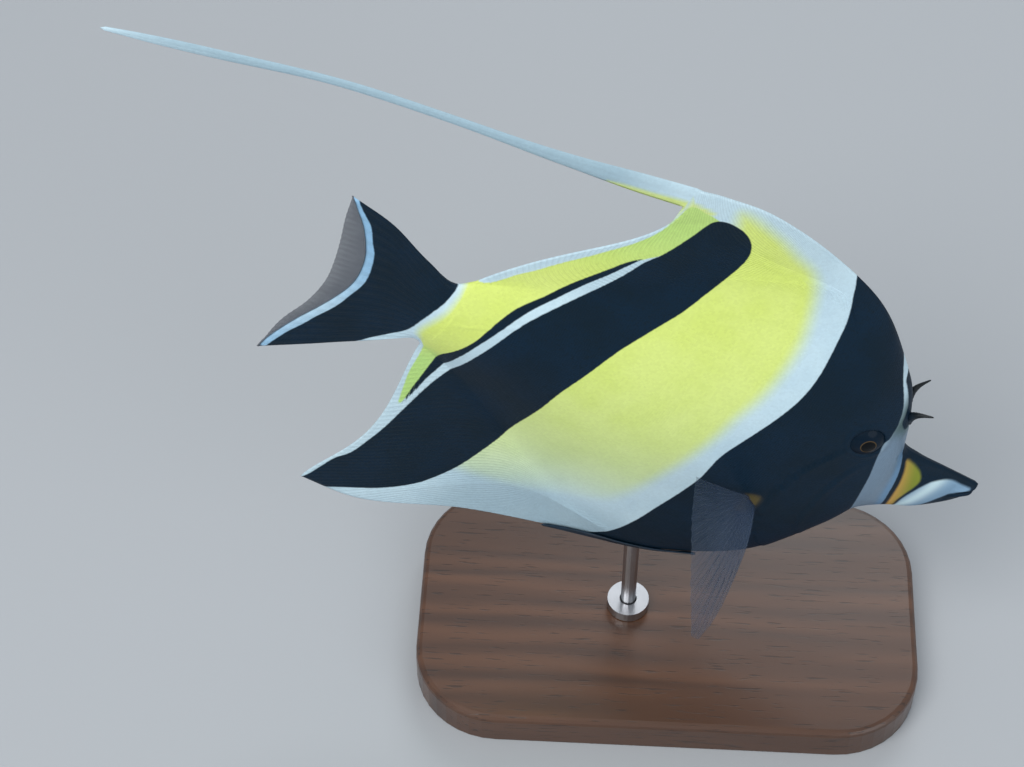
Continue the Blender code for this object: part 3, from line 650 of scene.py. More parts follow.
class Shop:
    """Short calls that add and join the nodes of one tree."""

    def __init__(self, tree):
        self.tree = tree

    def add(self, kind, inputs=None, **settings):
        node = self.tree.nodes.new(kind)
        for name, value in settings.items():
            setattr(node, name, value)
        for name, value in (inputs or {}).items():
            self.feed(node.inputs[name], value)
        return node

    def feed(self, socket, value):
        if isinstance(value, bpy.types.NodeSocket):
            self.tree.links.new(value, socket)
        else:
            socket.default_value = value

    def feed_all(self, sockets, **values):
        """Feed sockets by their names, with each space as an underscore."""
        for name, value in values.items():
            self.feed(sockets[name.replace("_", " ")], value)

    def feed_row(self, sockets, values):
        for socket, value in zip(sockets, values):
            self.feed(socket, value)

    def math(self, operation, *values):
        node = self.add("ShaderNodeMath", operation=operation)
        self.feed_row(node.inputs, values)
        return node.outputs[0]

    def times(self, one, two):
        return self.math("MULTIPLY", one, two)

    def scaled(self, value, factor, offset):
        return self.math("MULTIPLY_ADD", value, factor, offset)

    def step(self, value, low, high):
        """0 below low, 1 above high, smooth between."""
        node = self.add("ShaderNodeMapRange", {"Value": value, "From Min": low, "From Max": high},
                        interpolation_type="SMOOTHSTEP")
        return node.outputs["Result"]

    def range(self, value, low, high):
        """A value of 0 to 1 spread over another range."""
        node = self.add("ShaderNodeMapRange", {"Value": value, "To Min": low, "To Max": high})
        return node.outputs["Result"]

    def blend(self, share, under, over, blend_type="MIX"):
        node = self.add("ShaderNodeMix", data_type="RGBA", blend_type=blend_type)
        self.feed_row((node.inputs[0], node.inputs[6], node.inputs[7]), (share, under, over))
        return node.outputs[2]

    def noise(self, place, scale, detail, **more):
        inputs = {"Vector": place, "Scale": scale, "Detail": detail, **more}
        return self.add("ShaderNodeTexNoise", inputs).outputs

    def stretched(self, place, scale):
        return self.add("ShaderNodeMapping", {"Vector": place, "Scale": scale}).outputs[0]

    def field(self, name):
        return self.add("ShaderNodeAttribute", attribute_name=name).outputs["Fac"]

    def object_place(self):
        return self.add("ShaderNodeTexCoord").outputs["Object"]

    def group(self, name, **inputs):
        node = self.add("ShaderNodeGroup", node_tree=GROUPS[name])
        self.feed_all(node.inputs, **inputs)
        return node.outputs


def colour(red, green, blue):
    """A display colour of 0 to 255 as linear light."""
    def linear(value):
        value /= 255
        return value / 12.92 if value <= 0.04045 else ((value + 0.055) / 1.055) ** 2.4
    return (linear(red), linear(green), linear(blue), 1.0)


def shader_group(name, inputs, outputs):
    """An empty shader group with named sockets, with calls for its nodes."""
    group = bpy.data.node_groups.new(name, "ShaderNodeTree")
    for label, value in inputs.items():
        kind = "NodeSocketVector" if value is None else "NodeSocketFloat"
        socket = group.interface.new_socket(name=label, in_out="INPUT", socket_type=kind)
        if value is not None:
            socket.default_value = value
    for label in outputs:
        group.interface.new_socket(name=label, in_out="OUTPUT", socket_type="NodeSocketFloat")
    shop = Shop(group)
    return group, shop, shop.add("NodeGroupInput").outputs, shop.add("NodeGroupOutput").inputs


def fine_scales():
    """Tiny rough scales: a height that rises to the middle of each, and a tone for each."""
    group, shop, given, out = shader_group("fine_scales", {"Place": None, "Size": 0.5, "Wander": 0.25},
                                           ("Height", "Tone"))
    noise = shop.noise(given["Place"], 0.9, 2.0)
    shifted = shop.add("ShaderNodeVectorMath", operation="MULTIPLY_ADD")
    shop.feed_row(shifted.inputs, (noise["Color"], (0.3, 0.3, 0.3), given["Place"]))
    cells = shop.add("ShaderNodeTexVoronoi", {"Vector": shifted.outputs[0], "Randomness": given["Wander"],
                                              "Scale": shop.math("DIVIDE", 1.0, given["Size"])})
    split = shop.add("ShaderNodeSeparateColor", {"Color": cells.outputs["Color"]})
    shop.feed_all(out, Height=shop.step(cells.outputs["Distance"], 0.75, 0.15), Tone=split.outputs[0])
    return group


def mottle():
    """Soft uneven tone, from large washes to fine grain."""
    group, shop, given, out = shader_group("mottle", {"Place": None, "Size": 8.0}, ("Wash", "Grain"))
    density = shop.math("DIVIDE", 1.0, given["Size"])
    wash = shop.noise(given["Place"], density, 3.0, Roughness=0.55)
    grain = shop.noise(given["Place"], 2.6, 4.0, Roughness=0.65)
    shop.feed_all(out, Wash=shop.step(wash["Fac"], 0.3, 0.7), Grain=grain["Fac"])
    return group


def ray_streaks():
    """Fine ribs that follow the rays' numbers, for the skin between them."""
    group, shop, given, out = shader_group("ray_streaks", {"Number": 0.0, "Share": 1.0}, ("Height", "Shade"))
    turn = shop.times(given["Number"], 2 * math.pi)
    wave = shop.scaled(shop.math("COSINE", turn), 0.5, 0.5)
    fine = shop.scaled(shop.math("COSINE", shop.times(turn, 3.0)), 0.5, 0.5)
    both = shop.scaled(fine, 0.25, shop.times(wave, 0.75))
    shop.feed_all(out, Height=shop.times(both, given["Share"]), Shade=shop.times(wave, given["Share"]))
    return group


def crisp_edge():
    """A mask from a distance field, with a slightly uneven edge as paint and pigment have."""
    inputs = {"Place": None, "Distance": 0.0, "Softness": 0.12, "Wander": 0.12}
    group, shop, given, out = shader_group("crisp_edge", inputs, ("Mask",))
    uneven = shop.math("SUBTRACT", shop.noise(given["Place"], 1.4, 3.0)["Fac"], 0.5)
    moved = shop.scaled(uneven, given["Wander"], given["Distance"])
    shop.feed(out["Mask"], shop.step(moved, shop.times(given["Softness"], -1.0), given["Softness"]))
    return group


GROUPS = {build.__name__: build() for build in (fine_scales, mottle, ray_streaks, crisp_edge)}


def new_material(name, **sockets):
    """A material with its Principled shader, with plain values set on the shader's own sockets."""
    made = bpy.data.materials.new(name)
    made.use_nodes = True
    shop, shader = Shop(made.node_tree), made.node_tree.nodes["Principled BSDF"].inputs
    shop.feed_all(shader, **sockets)
    return made, shop, shader


def fish_place(shop):
    """Object coordinates turned and scaled to fish percent."""
    node = shop.add("ShaderNodeMapping", {"Vector": shop.object_place(), "Location": tuple(tail_base),
                                          "Rotation": (0, PITCH_DOWN, 0), "Scale": (PERCENT,) * 3},
                    vector_type="TEXTURE")
    return node.outputs[0]


def washed_place(shop, size):
    """A finish's place in fish percent, and its soft uneven tone."""
    place = fish_place(shop)
    return place, shop.group("mottle", Place=place, Size=size)


def bump(shop, height, strength, distance):
    node = shop.add("ShaderNodeBump", {"Height": height, "Strength": strength, "Distance": distance})
    return node.outputs["Normal"]


WHITE, SHADED_WHITE = colour(206, 231, 241), colour(196, 222, 234)
# Painted sky light: the blue that the tail's white crescent is tinted
SKY_WHITE = colour(150, 196, 230)
LEMON, DEEP_LEMON, GREEN_LEMON = colour(225, 241, 133), colour(219, 236, 120), colour(190, 228, 134)
BLACK, BLUE_BLACK, BROWN_BLACK = colour(0, 27, 43), colour(0, 32, 53), colour(4, 26, 38)
# Painted shade: the face's white as it looks in shade, grey and bluer
FACE_SHADE_GREY, FACE_BLUE = colour(116, 138, 158), colour(106, 144, 178)
# The stripe's pale colour is its painted highlight
STRIPE_BLUE, STRIPE_HIGHLIGHT = colour(92, 132, 168), colour(208, 232, 238)
ORANGE, OLIVE = colour(206, 158, 84), colour(132, 142, 50)
OCHRE = colour(112, 96, 48)
# Painted shade: the white of the underside and the streamer in shade, and the brow's grey in shade
PAINTED_SHADE_WHITE, BROW_SHADE_GREY, RIB_GREY = colour(156, 184, 198), colour(76, 97, 98), colour(60, 66, 66)
IRIS_DARK, IRIS_BLUE, EYE_OUTER = colour(0, 18, 34), colour(0, 26, 44), colour(0, 22, 38)
EYE_RING, PUPIL = colour(86, 68, 40), colour(0, 4, 8)


def skin_material():
    """Satin skin: white under soft lemon, then rear lemon, black, saddle and stripe on top."""
    made, shop, shader = new_material("painted_skin", Coat_Roughness=0.22, Specular_IOR_Level=0.2)
    place, soft = washed_place(shop, 9.0)
    scales = shop.group("fine_scales", Place=place, Size=0.42)
    ribs = shop.group("ray_streaks", Number=shop.field("ray"), Share=shop.field("fin"))

    def over(under, share, upper):
        return shop.blend(shop.field(share), under, upper)

    def mask(field, softness, wander=0.12):
        return shop.group("crisp_edge", Place=place, Distance=shop.field(field), Softness=softness,
                          Wander=wander)["Mask"]

    # Painted sky light: the sky field tints the tail's white crescent blue
    white = over(shop.blend(soft["Wash"], WHITE, SHADED_WHITE), "sky", SKY_WHITE)
    # Painted shade: the white face painted as a shaded grey, bluer along the snout's mask and darker on the
    # brow
    face = over(over(FACE_SHADE_GREY, "rim", FACE_BLUE), "brow", BROW_SHADE_GREY)
    # Painted shade: the belly field darkens the white on the underside and along the streamer
    white = over(over(white, "belly", PAINTED_SHADE_WHITE), "face", face)
    lemon = shop.blend(soft["Wash"], LEMON, DEEP_LEMON)
    rear = over(lemon, "lime", GREEN_LEMON)
    body = over(white, "lemon", lemon)
    body = shop.blend(mask("lemon_rear", shop.field("softness"), 0.2), body, rear)
    body = shop.blend(1.0, body, grey(shop, shop.range(scales["Tone"], 0.96, 1.02)), "MULTIPLY")
    dark = shop.blend(soft["Wash"], BLACK, BLUE_BLACK)
    dark = shop.blend(shop.step(soft["Grain"], 0.45, 0.75), dark, BROWN_BLACK)
    black = mask("black", 0.13, 0.16)
    body = shop.blend(black, body, dark)
    body = shop.blend(mask("saddle", 0.35), body, over(ORANGE, "olive", OLIVE))
    # The snout stripe, with its painted highlight across the middle from the gleam field
    body = shop.blend(mask("stripe", 0.3), body, over(STRIPE_BLUE, "gleam", STRIPE_HIGHLIGHT))
    body = shop.blend(shop.times(shop.field("ochre"), 0.6), body, OCHRE)
    body = shop.blend(shop.times(ribs["Shade"], 0.10), body, RIB_GREY)
    rough = shop.scaled(soft["Grain"], 0.22, 0.34)
    height = shop.scaled(ribs["Height"], 2.4, scales["Height"])
    shop.feed_all(shader, Base_Color=body, Coat_Weight=shop.scaled(black, -0.10, 0.12),
                  Roughness=shop.scaled(black, 0.14, rough), Normal=bump(shop, height, 0.45, 0.00006))
    return made


def grey(shop, value):
    node = shop.add("ShaderNodeCombineColor")
    shop.feed_row(node.inputs, (value,) * 3)
    return node.outputs[0]


# Fin rays

def ray_tree():
    """Geometry nodes that turn edge paths into thin tubes, with their thickness from an attribute."""
    tree = bpy.data.node_groups.new("fin_ray_tubes", "GeometryNodeTree")
    for label, way, kind in (("Paths", "INPUT", "Geometry"), ("Finish", "INPUT", "Material"),
                             ("Rays", "OUTPUT", "Geometry")):
        tree.interface.new_socket(name=label, in_out=way, socket_type="NodeSocket" + kind)
    shop = Shop(tree)
    given, out = shop.add("NodeGroupInput").outputs, shop.add("NodeGroupOutput").inputs
    curves = shop.add("GeometryNodeMeshToCurve", {"Mesh": given["Paths"]}).outputs[0]
    stored = shop.add("GeometryNodeInputNamedAttribute", {"Name": "half_thickness"}, data_type="FLOAT")
    ring = shop.add("GeometryNodeCurvePrimitiveCircle", {"Resolution": RAY_SIDES, "Radius": 1.0})
    tube = shop.add("GeometryNodeCurveToMesh", {"Curve": curves, "Profile Curve": ring.outputs[0],
                                                "Scale": stored.outputs["Attribute"], "Fill Caps": True})
    smooth = shop.add("GeometryNodeSetShadeSmooth", {"Geometry": tube.outputs[0]})
    real = shop.add("GeometryNodeRealizeInstances", {"Geometry": smooth.outputs[0]})
    finish = shop.add("GeometryNodeSetMaterial", {"Geometry": real.outputs[0], "Material": given["Finish"]})
    shop.feed(out["Rays"], finish.outputs[0])
    return tree


def tubes(name, paths, finish):
    """A mesh of tubes along fish paths, each a pair of points and half thicknesses in percent."""
    points, edges, radii = [], [], []
    for path, radius in paths:
        start = len(points)
        points += placed(path).tolist()
        radii += (np.asarray(radius) * PERCENT).tolist()
        edges += [(k, k + 1) for k in range(start, len(points) - 1)]
    mesh = bpy.data.meshes.new(name + "_paths")
    mesh.from_pydata(points, edges, [])
    guide = linked(name + "_guide", mesh)
    write_field(guide, "half_thickness", radii)
    step = guide.modifiers.new("tubes", "NODES")
    step.node_group = RAY_TREE
    for item in RAY_TREE.interface.items_tree:
        if item.name == "Finish":
            step[item.identifier] = finish
    return realised(guide, name)


def realised(guide, name):
    """The evaluated object as a plain mesh object of its own; the guide is removed."""
    bpy.context.view_layer.update()
    evaluated = guide.evaluated_get(bpy.context.evaluated_depsgraph_get())
    mesh = bpy.data.meshes.new_from_object(evaluated)
    mesh.name = name
    bpy.data.objects.remove(guide, do_unlink=True)
    return linked(name, mesh)


def both_faces(flat, half, radius):
    """One ray's paths on the two faces of its fin, sunk a little into the skin."""
    deep = half - RAY_DEPTH * radius
    return [(np.stack([flat[:, 0], side * deep, flat[:, 1]], axis=-1), radius) for side in SIDES]


def skin_half(s, v):
    flat = flank_point(s, v)
    from_edge, from_tail = gaps(flat, s, v)
    return flat, flank_half(s, v) * rounding(from_edge, EDGE_ROUNDING) * rounding(from_tail, EDGE_ROUNDING)


def upright_fin_paths(count, first, sign, leading):
    """Paths of the soft rays of the dorsal (sign 1) or anal (-1) fin, on both of its faces.

    Each ray starts as one stem and parts in two, but for the shortest ones. The leading
    rays start ahead of the first station."""
    paths = []
    for k in range(-leading, count):
        number = (k + 0.5) / count
        branches = UPRIGHT_BRANCHES if number < LAST_PARTED else ()
        for spread, start, end in (UPRIGHT_STEM, *branches):
            a = np.linspace(start, end, UPRIGHT_RAY_POINTS)
            q = number + spread / count * ramp(a, 0.5, 0.35)
            t = np.clip(a * np.clip(1 - q, 0, 1), -0.05, 0.985)
            s = first + (TAIL_STATION - first) * (q + t)
            keep = s <= TAIL_STATION - 0.02
            if keep.sum() < 4:
                continue
            a, s, t = a[keep], s[keep], t[keep]
            radius = (0.17 - 0.10 * np.clip(a, 0, 1)) * ramp(a, -0.10, 0.12)
            paths += both_faces(*skin_half(s, sign * (0.5 + 0.5 * t)), np.maximum(radius, THINNEST_RAY))
    return paths


def tail_fin_paths():
    paths = []
    for middle in np.linspace(-0.94, 0.94, TAIL_RAYS):
        for spread, start, end in TAIL_STRETCHES:
            c = np.linspace(start, end, RAY_POINTS)
            v = np.clip(middle + spread * ramp(c, 0.55, 0.3), -0.97, 0.97)
            radius = np.maximum((0.20 - 0.12 * c) * ramp(c, 0.08, 0.2), THINNEST_RAY)
            paths += both_faces(tail_point(c, v, CRESCENT_BOW), tail_half(c, v), radius)
    return paths


# Paired fins

def pectoral_point(fan, out, side):
    """A point of a pectoral fin's middle surface: fan across its root, out from root to edge."""
    front, rear = np.array(PECTORAL_ROOT_FRONT), np.array(PECTORAL_ROOT_REAR)
    lead, trail = np.array(PECTORAL_LEAD), np.array(PECTORAL_TRAIL)
    normal = unit(np.cross(lead, trail))
    fan, out = np.asarray(fan, dtype=float), np.asarray(out, dtype=float)
    root = front + (rear - front) * fan[..., None]
    heading = unit(lead + (trail - lead) * fan[..., None])
    at = root + heading * (curve(PECTORAL_REACH, fan) * out)[..., None]
    curl = 1.2 * np.sin(math.pi * out) * (0.5 - fan)
    return (at + normal * curl[..., None]) * (1, side, 1), normal * (1, side, 1)


def sheet_between(name, places, normal, half):
    """A thin closed sheet from a grid of middle points, their normals and half thicknesses."""
    quads, count = grid_quads(np.arange(half.size).reshape(half.shape)), half.size
    faces = quads + [[count + k for k in reversed(quad)] for quad in quads]
    faces += [[a, b, count + b, count + a] for a, b in border_edges(quads)]
    step = normal * half[..., None]
    points = np.concatenate([(places - step).reshape(-1, 3), (places + step).reshape(-1, 3)])
    return make_mesh(name, points, faces)


def flat_sheet(name, x, y, z, half):
    """A thin closed sheet that faces sideways."""
    return sheet_between(name, np.stack([x, y, z], axis=-1), np.array([0.0, 1.0, 0.0]), half)


def build_pectoral(side, label, web, rays):
    fan, out = grid_of(np.linspace(0, 1, 109), np.linspace(0, 1, 41))
    last = PECTORAL_RAYS - 1
    scallop = 1 - 0.018 * np.abs(np.sin(math.pi * last * fan)) * out ** 6
    places, normal = pectoral_point(fan, out * scallop, side)
    blade = sheet_between("pectoral_web_" + label, places, normal, 0.10 - 0.06 * out)
    clear = 1 - (1 - out) * (1 - 0.8 * ramp(fan, 0.45, 0.55))
    write_field(blade, "out", np.tile(clear.ravel(), 2))
    write_field(blade, "ray", np.tile((last * fan).ravel(), 2))
    blade.data.materials.append(web)
    paths = []
    for k in range(PECTORAL_RAYS):
        number = k / last
        stout = 1.5 if k == 0 else 1.0
        for spread, start, end in PECTORAL_STRETCHES:
            # The first and the last ray part inwards only
            if k in (0, last) and spread * (0.5 - number) < 0:
                continue
            o = np.linspace(start, end, RAY_POINTS)
            f = np.clip(number + spread / last * ramp(o, 0.55, 0.35), 0, 1)
            paths.append((pectoral_point(f, o, side)[0], stout * np.clip(0.17 - 0.12 * o, 0.04, 0.3)))
    return blade, tubes("pectoral_rays_" + label, paths, rays)


def build_pelvic(side, label, finish):
    at, down = grid_of(np.linspace(0, 1, 81), np.linspace(0, 1, 17))
    line = spline(PELVIC_LINE, at)
    top, foot = np.moveaxis(spline(PELVIC_OUT, at), -1, 0)
    half = 0.18 * rounding(np.minimum(1 - at, 0.5) * 60, 2.0) * rounding((1 - down) * 4, 1.0) + 0.02
    half = half * (1 + 0.25 * np.cos(2 * math.pi * PELVIC_RAYS * (down + 0.15 * at)))
    blade = flat_sheet("pelvic_blade_" + label, line[..., 0], side * (top + (foot - top) * down),
                       line[..., 1] + curve(PELVIC_DEPTH, at) * (0.45 - down), half)
    blade.data.materials.append(finish)
    return blade


def build_tail_web(finish):
    """The clear hind web of the tail fin, behind its white crescent."""
    w, v = grid_of(np.linspace(0, 1, 25), np.linspace(-1, 1, 205))
    ones = np.ones_like(w)
    inner = tail_point(ones, v, CRESCENT_BOW) + np.array([0.12, 0.0])
    outer = tail_point(ones, v, MEMBRANE_BOW)
    outer[..., 0] = np.minimum(outer[..., 0], inner[..., 0] - 0.3)
    flat = inner + w[..., None] * (outer - inner)
    frill = 0.05 * np.cos(2 * math.pi * TAIL_RAYS * v) * w ** 4 * (1 - v ** 4)
    web = flat_sheet("tail_web", flat[..., 0] + frill, np.zeros_like(w), flat[..., 1], 0.08 - 0.05 * w)
    write_field(web, "out", np.tile(w.ravel(), 2))
    write_field(web, "ray", np.tile((TAIL_RAYS * v).ravel(), 2))
    web.data.materials.append(finish)
    return web


def web_material(name, near, far, near_alpha, far_alpha):
    """Clear fin web: a tinted sheet that thins out towards its edge, with fine ribs."""
    made, shop, shader = new_material(name, Coat_Weight=0.1, Coat_Roughness=0.2, Roughness=0.4,
                                      Specular_IOR_Level=0.3)
    _, soft = washed_place(shop, 4.0)
    out = shop.field("out")
    ribs = shop.group("ray_streaks", Number=shop.field("ray"), Share=shop.step(out, 0.1, 0.6))
    tint = shop.blend(out, near, far)
    tint = shop.blend(shop.times(soft["Wash"], 0.4), tint, far)
    clear = shop.scaled(out, far_alpha - near_alpha, near_alpha)
    clear = shop.scaled(ribs["Shade"], 0.05, clear)
    clear = shop.scaled(soft["Wash"], 0.06, clear)
    shop.feed_all(shader, Base_Color=tint, Alpha=clear, Normal=bump(shop, ribs["Height"], 0.1, 0.00003))
    return made


def ray_material(name, base, tip, cover):
    """Horny fin rays, more or less clear."""
    made, shop, shader = new_material(name, Coat_Weight=0.2, Coat_Roughness=0.2, Alpha=cover)
    _, soft = washed_place(shop, 3.0)
    shop.feed_all(shader, Base_Color=shop.blend(soft["Wash"], base, tip),
                  Roughness=shop.range(soft["Grain"], 0.3, 0.5))
    return made


# Eyes and horns

def ring_quads(rings, sides):
    """Faces between rings of points, with each ring closed on itself."""
    index = np.arange(rings * sides).reshape(rings, sides)
    return grid_quads(np.column_stack([index, index[:, 0]]))


def build_eye(side, label, finish):
    """An eyeball with a slightly domed cornea, its pole turned outwards."""
    axis = unit(np.array((EYE_TILT[0], 1.0, EYE_TILT[1])))
    one = unit(np.cross(axis, (0.0, 0.0, 1.0)))
    two = np.cross(one, axis)
    rings, sides = 63, 96
    tilt, turn = grid_of(np.linspace(0, math.pi, rings + 2)[1:-1], np.arange(sides) * 2 * math.pi / sides)
    # The last two points are the poles
    off = np.append(np.sin(tilt), (0, 0))
    along = np.append(np.cos(tilt), (1, -1))
    turn = np.append(turn, (0, 0))
    along = along + 0.06 * hump(off, 0.5) * (along > 0)
    right, up = np.cos(turn) * off, np.sin(turn) * off
    around = right[:, None] * one + up[:, None] * two
    places = np.array((EYE_X, EYE_Y, EYE_Z)) + EYE_RADIUS * around + (EYE_DEPTH * along)[:, None] * axis
    pole, last = rings * sides, (rings - 1) * sides
    faces = ring_quads(rings, sides)
    faces += [[pole, (k + 1) % sides, k] for k in range(sides)]
    faces += [[pole + 1, last + k, last + (k + 1) % sides] for k in range(sides)]
    ball = make_mesh("eyeball_" + label, places * (1, side, 1), faces)
    write_field(ball, "from_axis", np.where(along > 0, off, 1.0) * EYE_RADIUS)
    write_field(ball, "turned_x", right)
    write_field(ball, "turned_z", up)
    ball.data.materials.append(finish)
    return ball


def eye_material():
    """Pupil, thin bright ring and dark iris, by distance from the eye's axis, under a wet coat."""
    made, shop, shader = new_material("eye_wet", Coat_Weight=0.12, Coat_Roughness=0.05, Roughness=0.5,
                                      Specular_IOR_Level=0.1)
    away = shop.field("from_axis")
    angle = shop.math("ARCTAN2", shop.field("turned_z"), shop.field("turned_x"))
    spokes = shop.add("ShaderNodeCombineXYZ", {"X": shop.times(shop.math("COSINE", angle), 4.0),
                                               "Y": shop.times(shop.math("SINE", angle), 4.0),
                                               "Z": shop.times(away, 0.5)})
    fibre = shop.noise(spokes.outputs[0], 3.0, 4.0)["Fac"]
    iris = shop.blend(fibre, IRIS_DARK, IRIS_BLUE)
    iris = shop.blend(shop.step(away, 1.9, 2.6), iris, EYE_OUTER)
    ring = shop.times(shop.step(away, 1.17, 1.24), shop.step(away, 1.40, 1.30))
    iris = shop.blend(ring, iris, EYE_RING)
    shop.feed(shader["Base Color"], shop.blend(shop.step(away, 1.24, 1.16), iris, PUPIL))
    return made


def build_horn(side, label, finish):
    """A curved bony horn over the eye, ringed with low ridges."""
    base, tip = np.array(HORN_BASE), np.array(HORN_TIP)
    axis = unit(tip - base)
    one = unit(np.cross(axis, (0.0, 1.0, 0.0)))
    two = np.cross(axis, one)
    rings, sides = 45, 24
    points = []
    turn = 2 * math.pi * np.arange(sides)[:, None] / sides
    for at in np.linspace(0, 1, rings):
        bend = 1.15 * math.sin(math.pi * at) * (1 - 0.35 * at)
        centre = base - 0.2 * axis + (tip - base + 0.2 * axis) * at + one * bend
        radius = HORN_TIP_RADIUS + (HORN_RADIUS - HORN_TIP_RADIUS) * (1 - at) ** 1.25
        radius *= (1 + 0.05 * math.sin(at * 60) * (1 - at)) * rounding((1 - at) * 5, 0.3)
        fluted = radius * (1 + 0.04 * np.cos(5 * turn))
        points += [*(centre + fluted * (np.cos(turn) * one + np.sin(turn) * two))]
    root = list(range(sides))
    faces = ring_quads(rings, sides) + [root, [(rings - 1) * sides + k for k in root]]
    horn = make_mesh("brow_horn_" + label, np.array(points) * (1, side, 1), faces, weld=True)
    horn.data.materials.append(finish)
    return horn


def horn_material():
    made, shop, shader = new_material("horn_bone", Coat_Weight=0.08, Coat_Roughness=0.3,
                                      Specular_IOR_Level=0.25)
    place, soft = washed_place(shop, 1.2)
    height = shop.add("ShaderNodeSeparateXYZ", {"Vector": place}).outputs["Z"]
    dark = shop.blend(soft["Wash"], colour(12, 24, 36), colour(30, 46, 60))
    body = shop.blend(shop.step(height, 14.2, 16.5), dark, colour(16, 24, 28))
    shop.feed_all(shader, Base_Color=body, Roughness=shop.range(soft["Grain"], 0.3, 0.6),
                  Normal=bump(shop, soft["Grain"], 0.4, 0.00008))
    return made


# Stand finishes

def wood_material():
    """Dark oiled walnut, with long grain along the base and pores in it."""
    made, shop, shader = new_material("oiled_walnut", Coat_Weight=0.35, Coat_Roughness=0.18)
    place = shop.object_place()
    long = shop.stretched(place, (9.0, 70.0, 70.0))
    warp = shop.noise(long, 1.3, 5.0, Distortion=0.6)["Fac"]
    rings = shop.add("ShaderNodeTexWave", {"Vector": long, "Scale": 0.55, "Distortion": 6.0, "Detail": 3.0,
                                           "Detail Scale": 1.4}, bands_direction="Y").outputs["Fac"]
    pore = shop.noise(shop.stretched(place, (120.0, 1500.0, 1500.0)), 1.0, 2.0)["Fac"]
    pit = shop.step(pore, 0.60, 0.68)
    body = shop.blend(rings, colour(66, 42, 28), colour(92, 60, 40))
    body = shop.blend(shop.step(warp, 0.35, 0.7), body, colour(78, 50, 33))
    body = shop.blend(shop.times(pit, 0.6), body, colour(30, 18, 12))
    height = shop.scaled(pit, -1.0, shop.times(rings, 0.3))
    shop.feed_all(shader, Base_Color=body, Roughness=shop.range(warp, 0.32, 0.5),
                  Normal=bump(shop, height, 0.35, 0.0001))
    return made


def steel_material(name, stretch):
    """Brushed steel, with its lines along one direction."""
    made, shop, shader = new_material(name, Metallic=1.0)
    place = shop.object_place()
    brush = shop.noise(shop.stretched(place, stretch), 1.0, 4.0)["Fac"]
    smear = shop.noise(place, 160.0, 2.0)["Fac"]
    shop.feed_all(shader, Base_Color=shop.blend(smear, colour(196, 197, 200), colour(168, 170, 174)),
                  Roughness=shop.range(brush, 0.2, 0.45), Normal=bump(shop, brush, 0.15, 0.00004))
    return made


# Surroundings

def build_floor():
    bm = bmesh.new()
    bmesh.ops.create_grid(bm, x_segments=8, y_segments=8, size=FLOOR_REACH)
    mesh = bpy.data.meshes.new("floor")
    bm.to_mesh(mesh)
    bm.free()
    floor = linked("floor", mesh)
    floor.location = (0, 0, -FLOOR_DROP)
    finish, _, _ = new_material("pale_floor", Roughness=0.85, Base_Color=colour(176, 180, 184))
    mesh.materials.append(finish)


def add_light(name, place, size, power, tint):
    lamp = bpy.data.lights.new(name, "AREA")
    lamp.shape = "DISK"
    lamp.size = size
    lamp.energy = power
    lamp.color = tint
    made = linked(name, lamp)
    made.location = place
    made.rotation_euler = (LIGHT_AIM - Vector(place)).to_track_quat("-Z", "Y").to_euler()


def light_scene():
    for lamp in LAMPS:
        add_light(*lamp)
    world = bpy.data.worlds.new("studio")
    bpy.context.scene.world = world
    world.use_nodes = True
    sky = world.node_tree.nodes["Background"].inputs
    sky["Color"].default_value = SKY_TINT
    sky["Strength"].default_value = SKY_STRENGTH
    bpy.context.scene.view_settings.view_transform = "Standard"


def fit(piece, slot, *nodes):
    """Fix a piece to the fish, in place of the nodes it stands for, which are hidden; the slot is not used.
    """
    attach(piece, "root")
    if nodes:
        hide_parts(*nodes)


def add_camera():
    lens = bpy.data.cameras.new("camera")
    lens.lens = CAMERA_LENS
    lens.sensor_width = SENSOR_WIDTH
    lens.clip_start = 0.01
    level = math.cos(CAMERA_ELEVATION)
    back = Vector((math.sin(CAMERA_AZIMUTH) * level, -math.cos(CAMERA_AZIMUTH) * level,
                   math.sin(CAMERA_ELEVATION)))
    right = Vector((math.cos(CAMERA_AZIMUTH), math.sin(CAMERA_AZIMUTH), 0))
    turn = Matrix((right, back.cross(right), back)).transposed().to_4x4()
    turn.translation = CAMERA_TARGET + CAMERA_DISTANCE * back
    camera = linked("camera", lens)
    camera.matrix_world = turn
    bpy.context.scene.camera = camera


# Putting the fish together

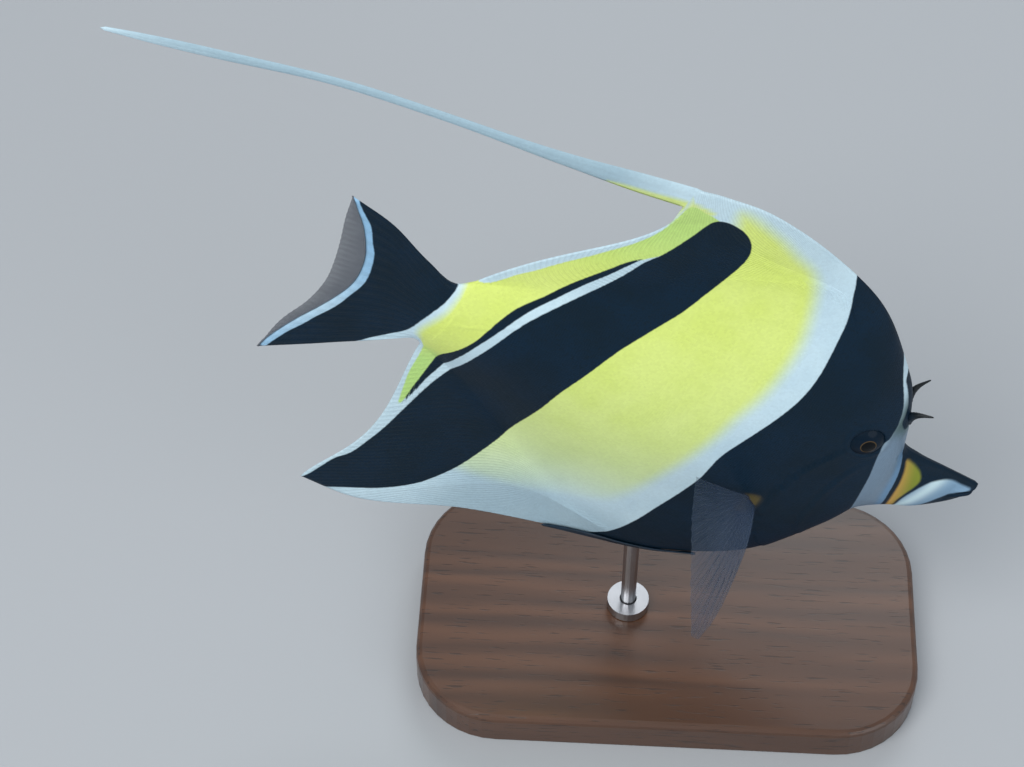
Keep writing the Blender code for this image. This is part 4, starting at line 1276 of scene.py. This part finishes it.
add_camera()
light_scene()
build_floor()
RAY_TREE = ray_tree()
skin_finish = skin_material()
web_finish = web_material("clear_fin_web", colour(54, 74, 102), colour(76, 92, 114), 0.58, 0.14)
tail_web_finish = web_material("tail_web_grey", colour(74, 82, 94), colour(82, 86, 96), 0.6, 0.42)
pelvic_finish = ray_material("pelvic_black", BLACK, BLUE_BLACK, 1.0)
rib_finish = ray_material("fin_rib", colour(58, 78, 106), colour(72, 90, 116), 0.15)

skin = build_skin()
skin.data.materials.append(skin_finish)
paint(skin)
fit(skin, "flesh", "upper_jaw", "lower_jaw", "snout", "head", "trunk", "tail_peduncle", "dorsal_fin",
    "anal_fin", "caudal_fin", "dorsal_streamer_root", "dorsal_streamer_middle", "dorsal_streamer_tip")

upright_paths = upright_fin_paths(DORSAL_RAYS, DORSAL_RAY_START, 1, 10)
upright_paths += upright_fin_paths(ANAL_RAYS, ANAL_RAY_START, -1, 6)
fin_rays = tubes("upright_fin_rays", upright_paths + tail_fin_paths(), skin_finish)
paint(fin_rays)
for blank in ("fin", "ray"):
    write_field(fin_rays, blank, np.zeros(len(fin_rays.data.vertices)))
fit(fin_rays, "flesh")
fit(build_tail_web(tail_web_finish), "fin")

eye_finish, horn_finish = eye_material(), horn_material()
for fin_side, fin_label in ((-1, "right"), (1, "left")):
    blade, ribs = build_pectoral(fin_side, fin_label, web_finish, rib_finish)
    fit(blade, "fin", "pectoral_fin_" + fin_label)
    fit(ribs, "fin")
    fit(build_pelvic(fin_side, fin_label, pelvic_finish), "flesh", "pelvic_fin_" + fin_label)
    fit(build_eye(fin_side, fin_label, eye_finish), "eye", "eye_" + fin_label)
    fit(build_horn(fin_side, fin_label, horn_finish), "horn", "horn_" + fin_label)

stand_finishes = {"stand_base": wood_material(),
                  "stand_rod": steel_material("steel_rod", (900.0, 900.0, 12.0)),
                  "stand_collar": steel_material("steel_collar", (40.0, 40.0, 2500.0))}
for node, finish in stand_finishes.items():
    for material_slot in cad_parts[node].material_slots:
        material_slot.material = finish
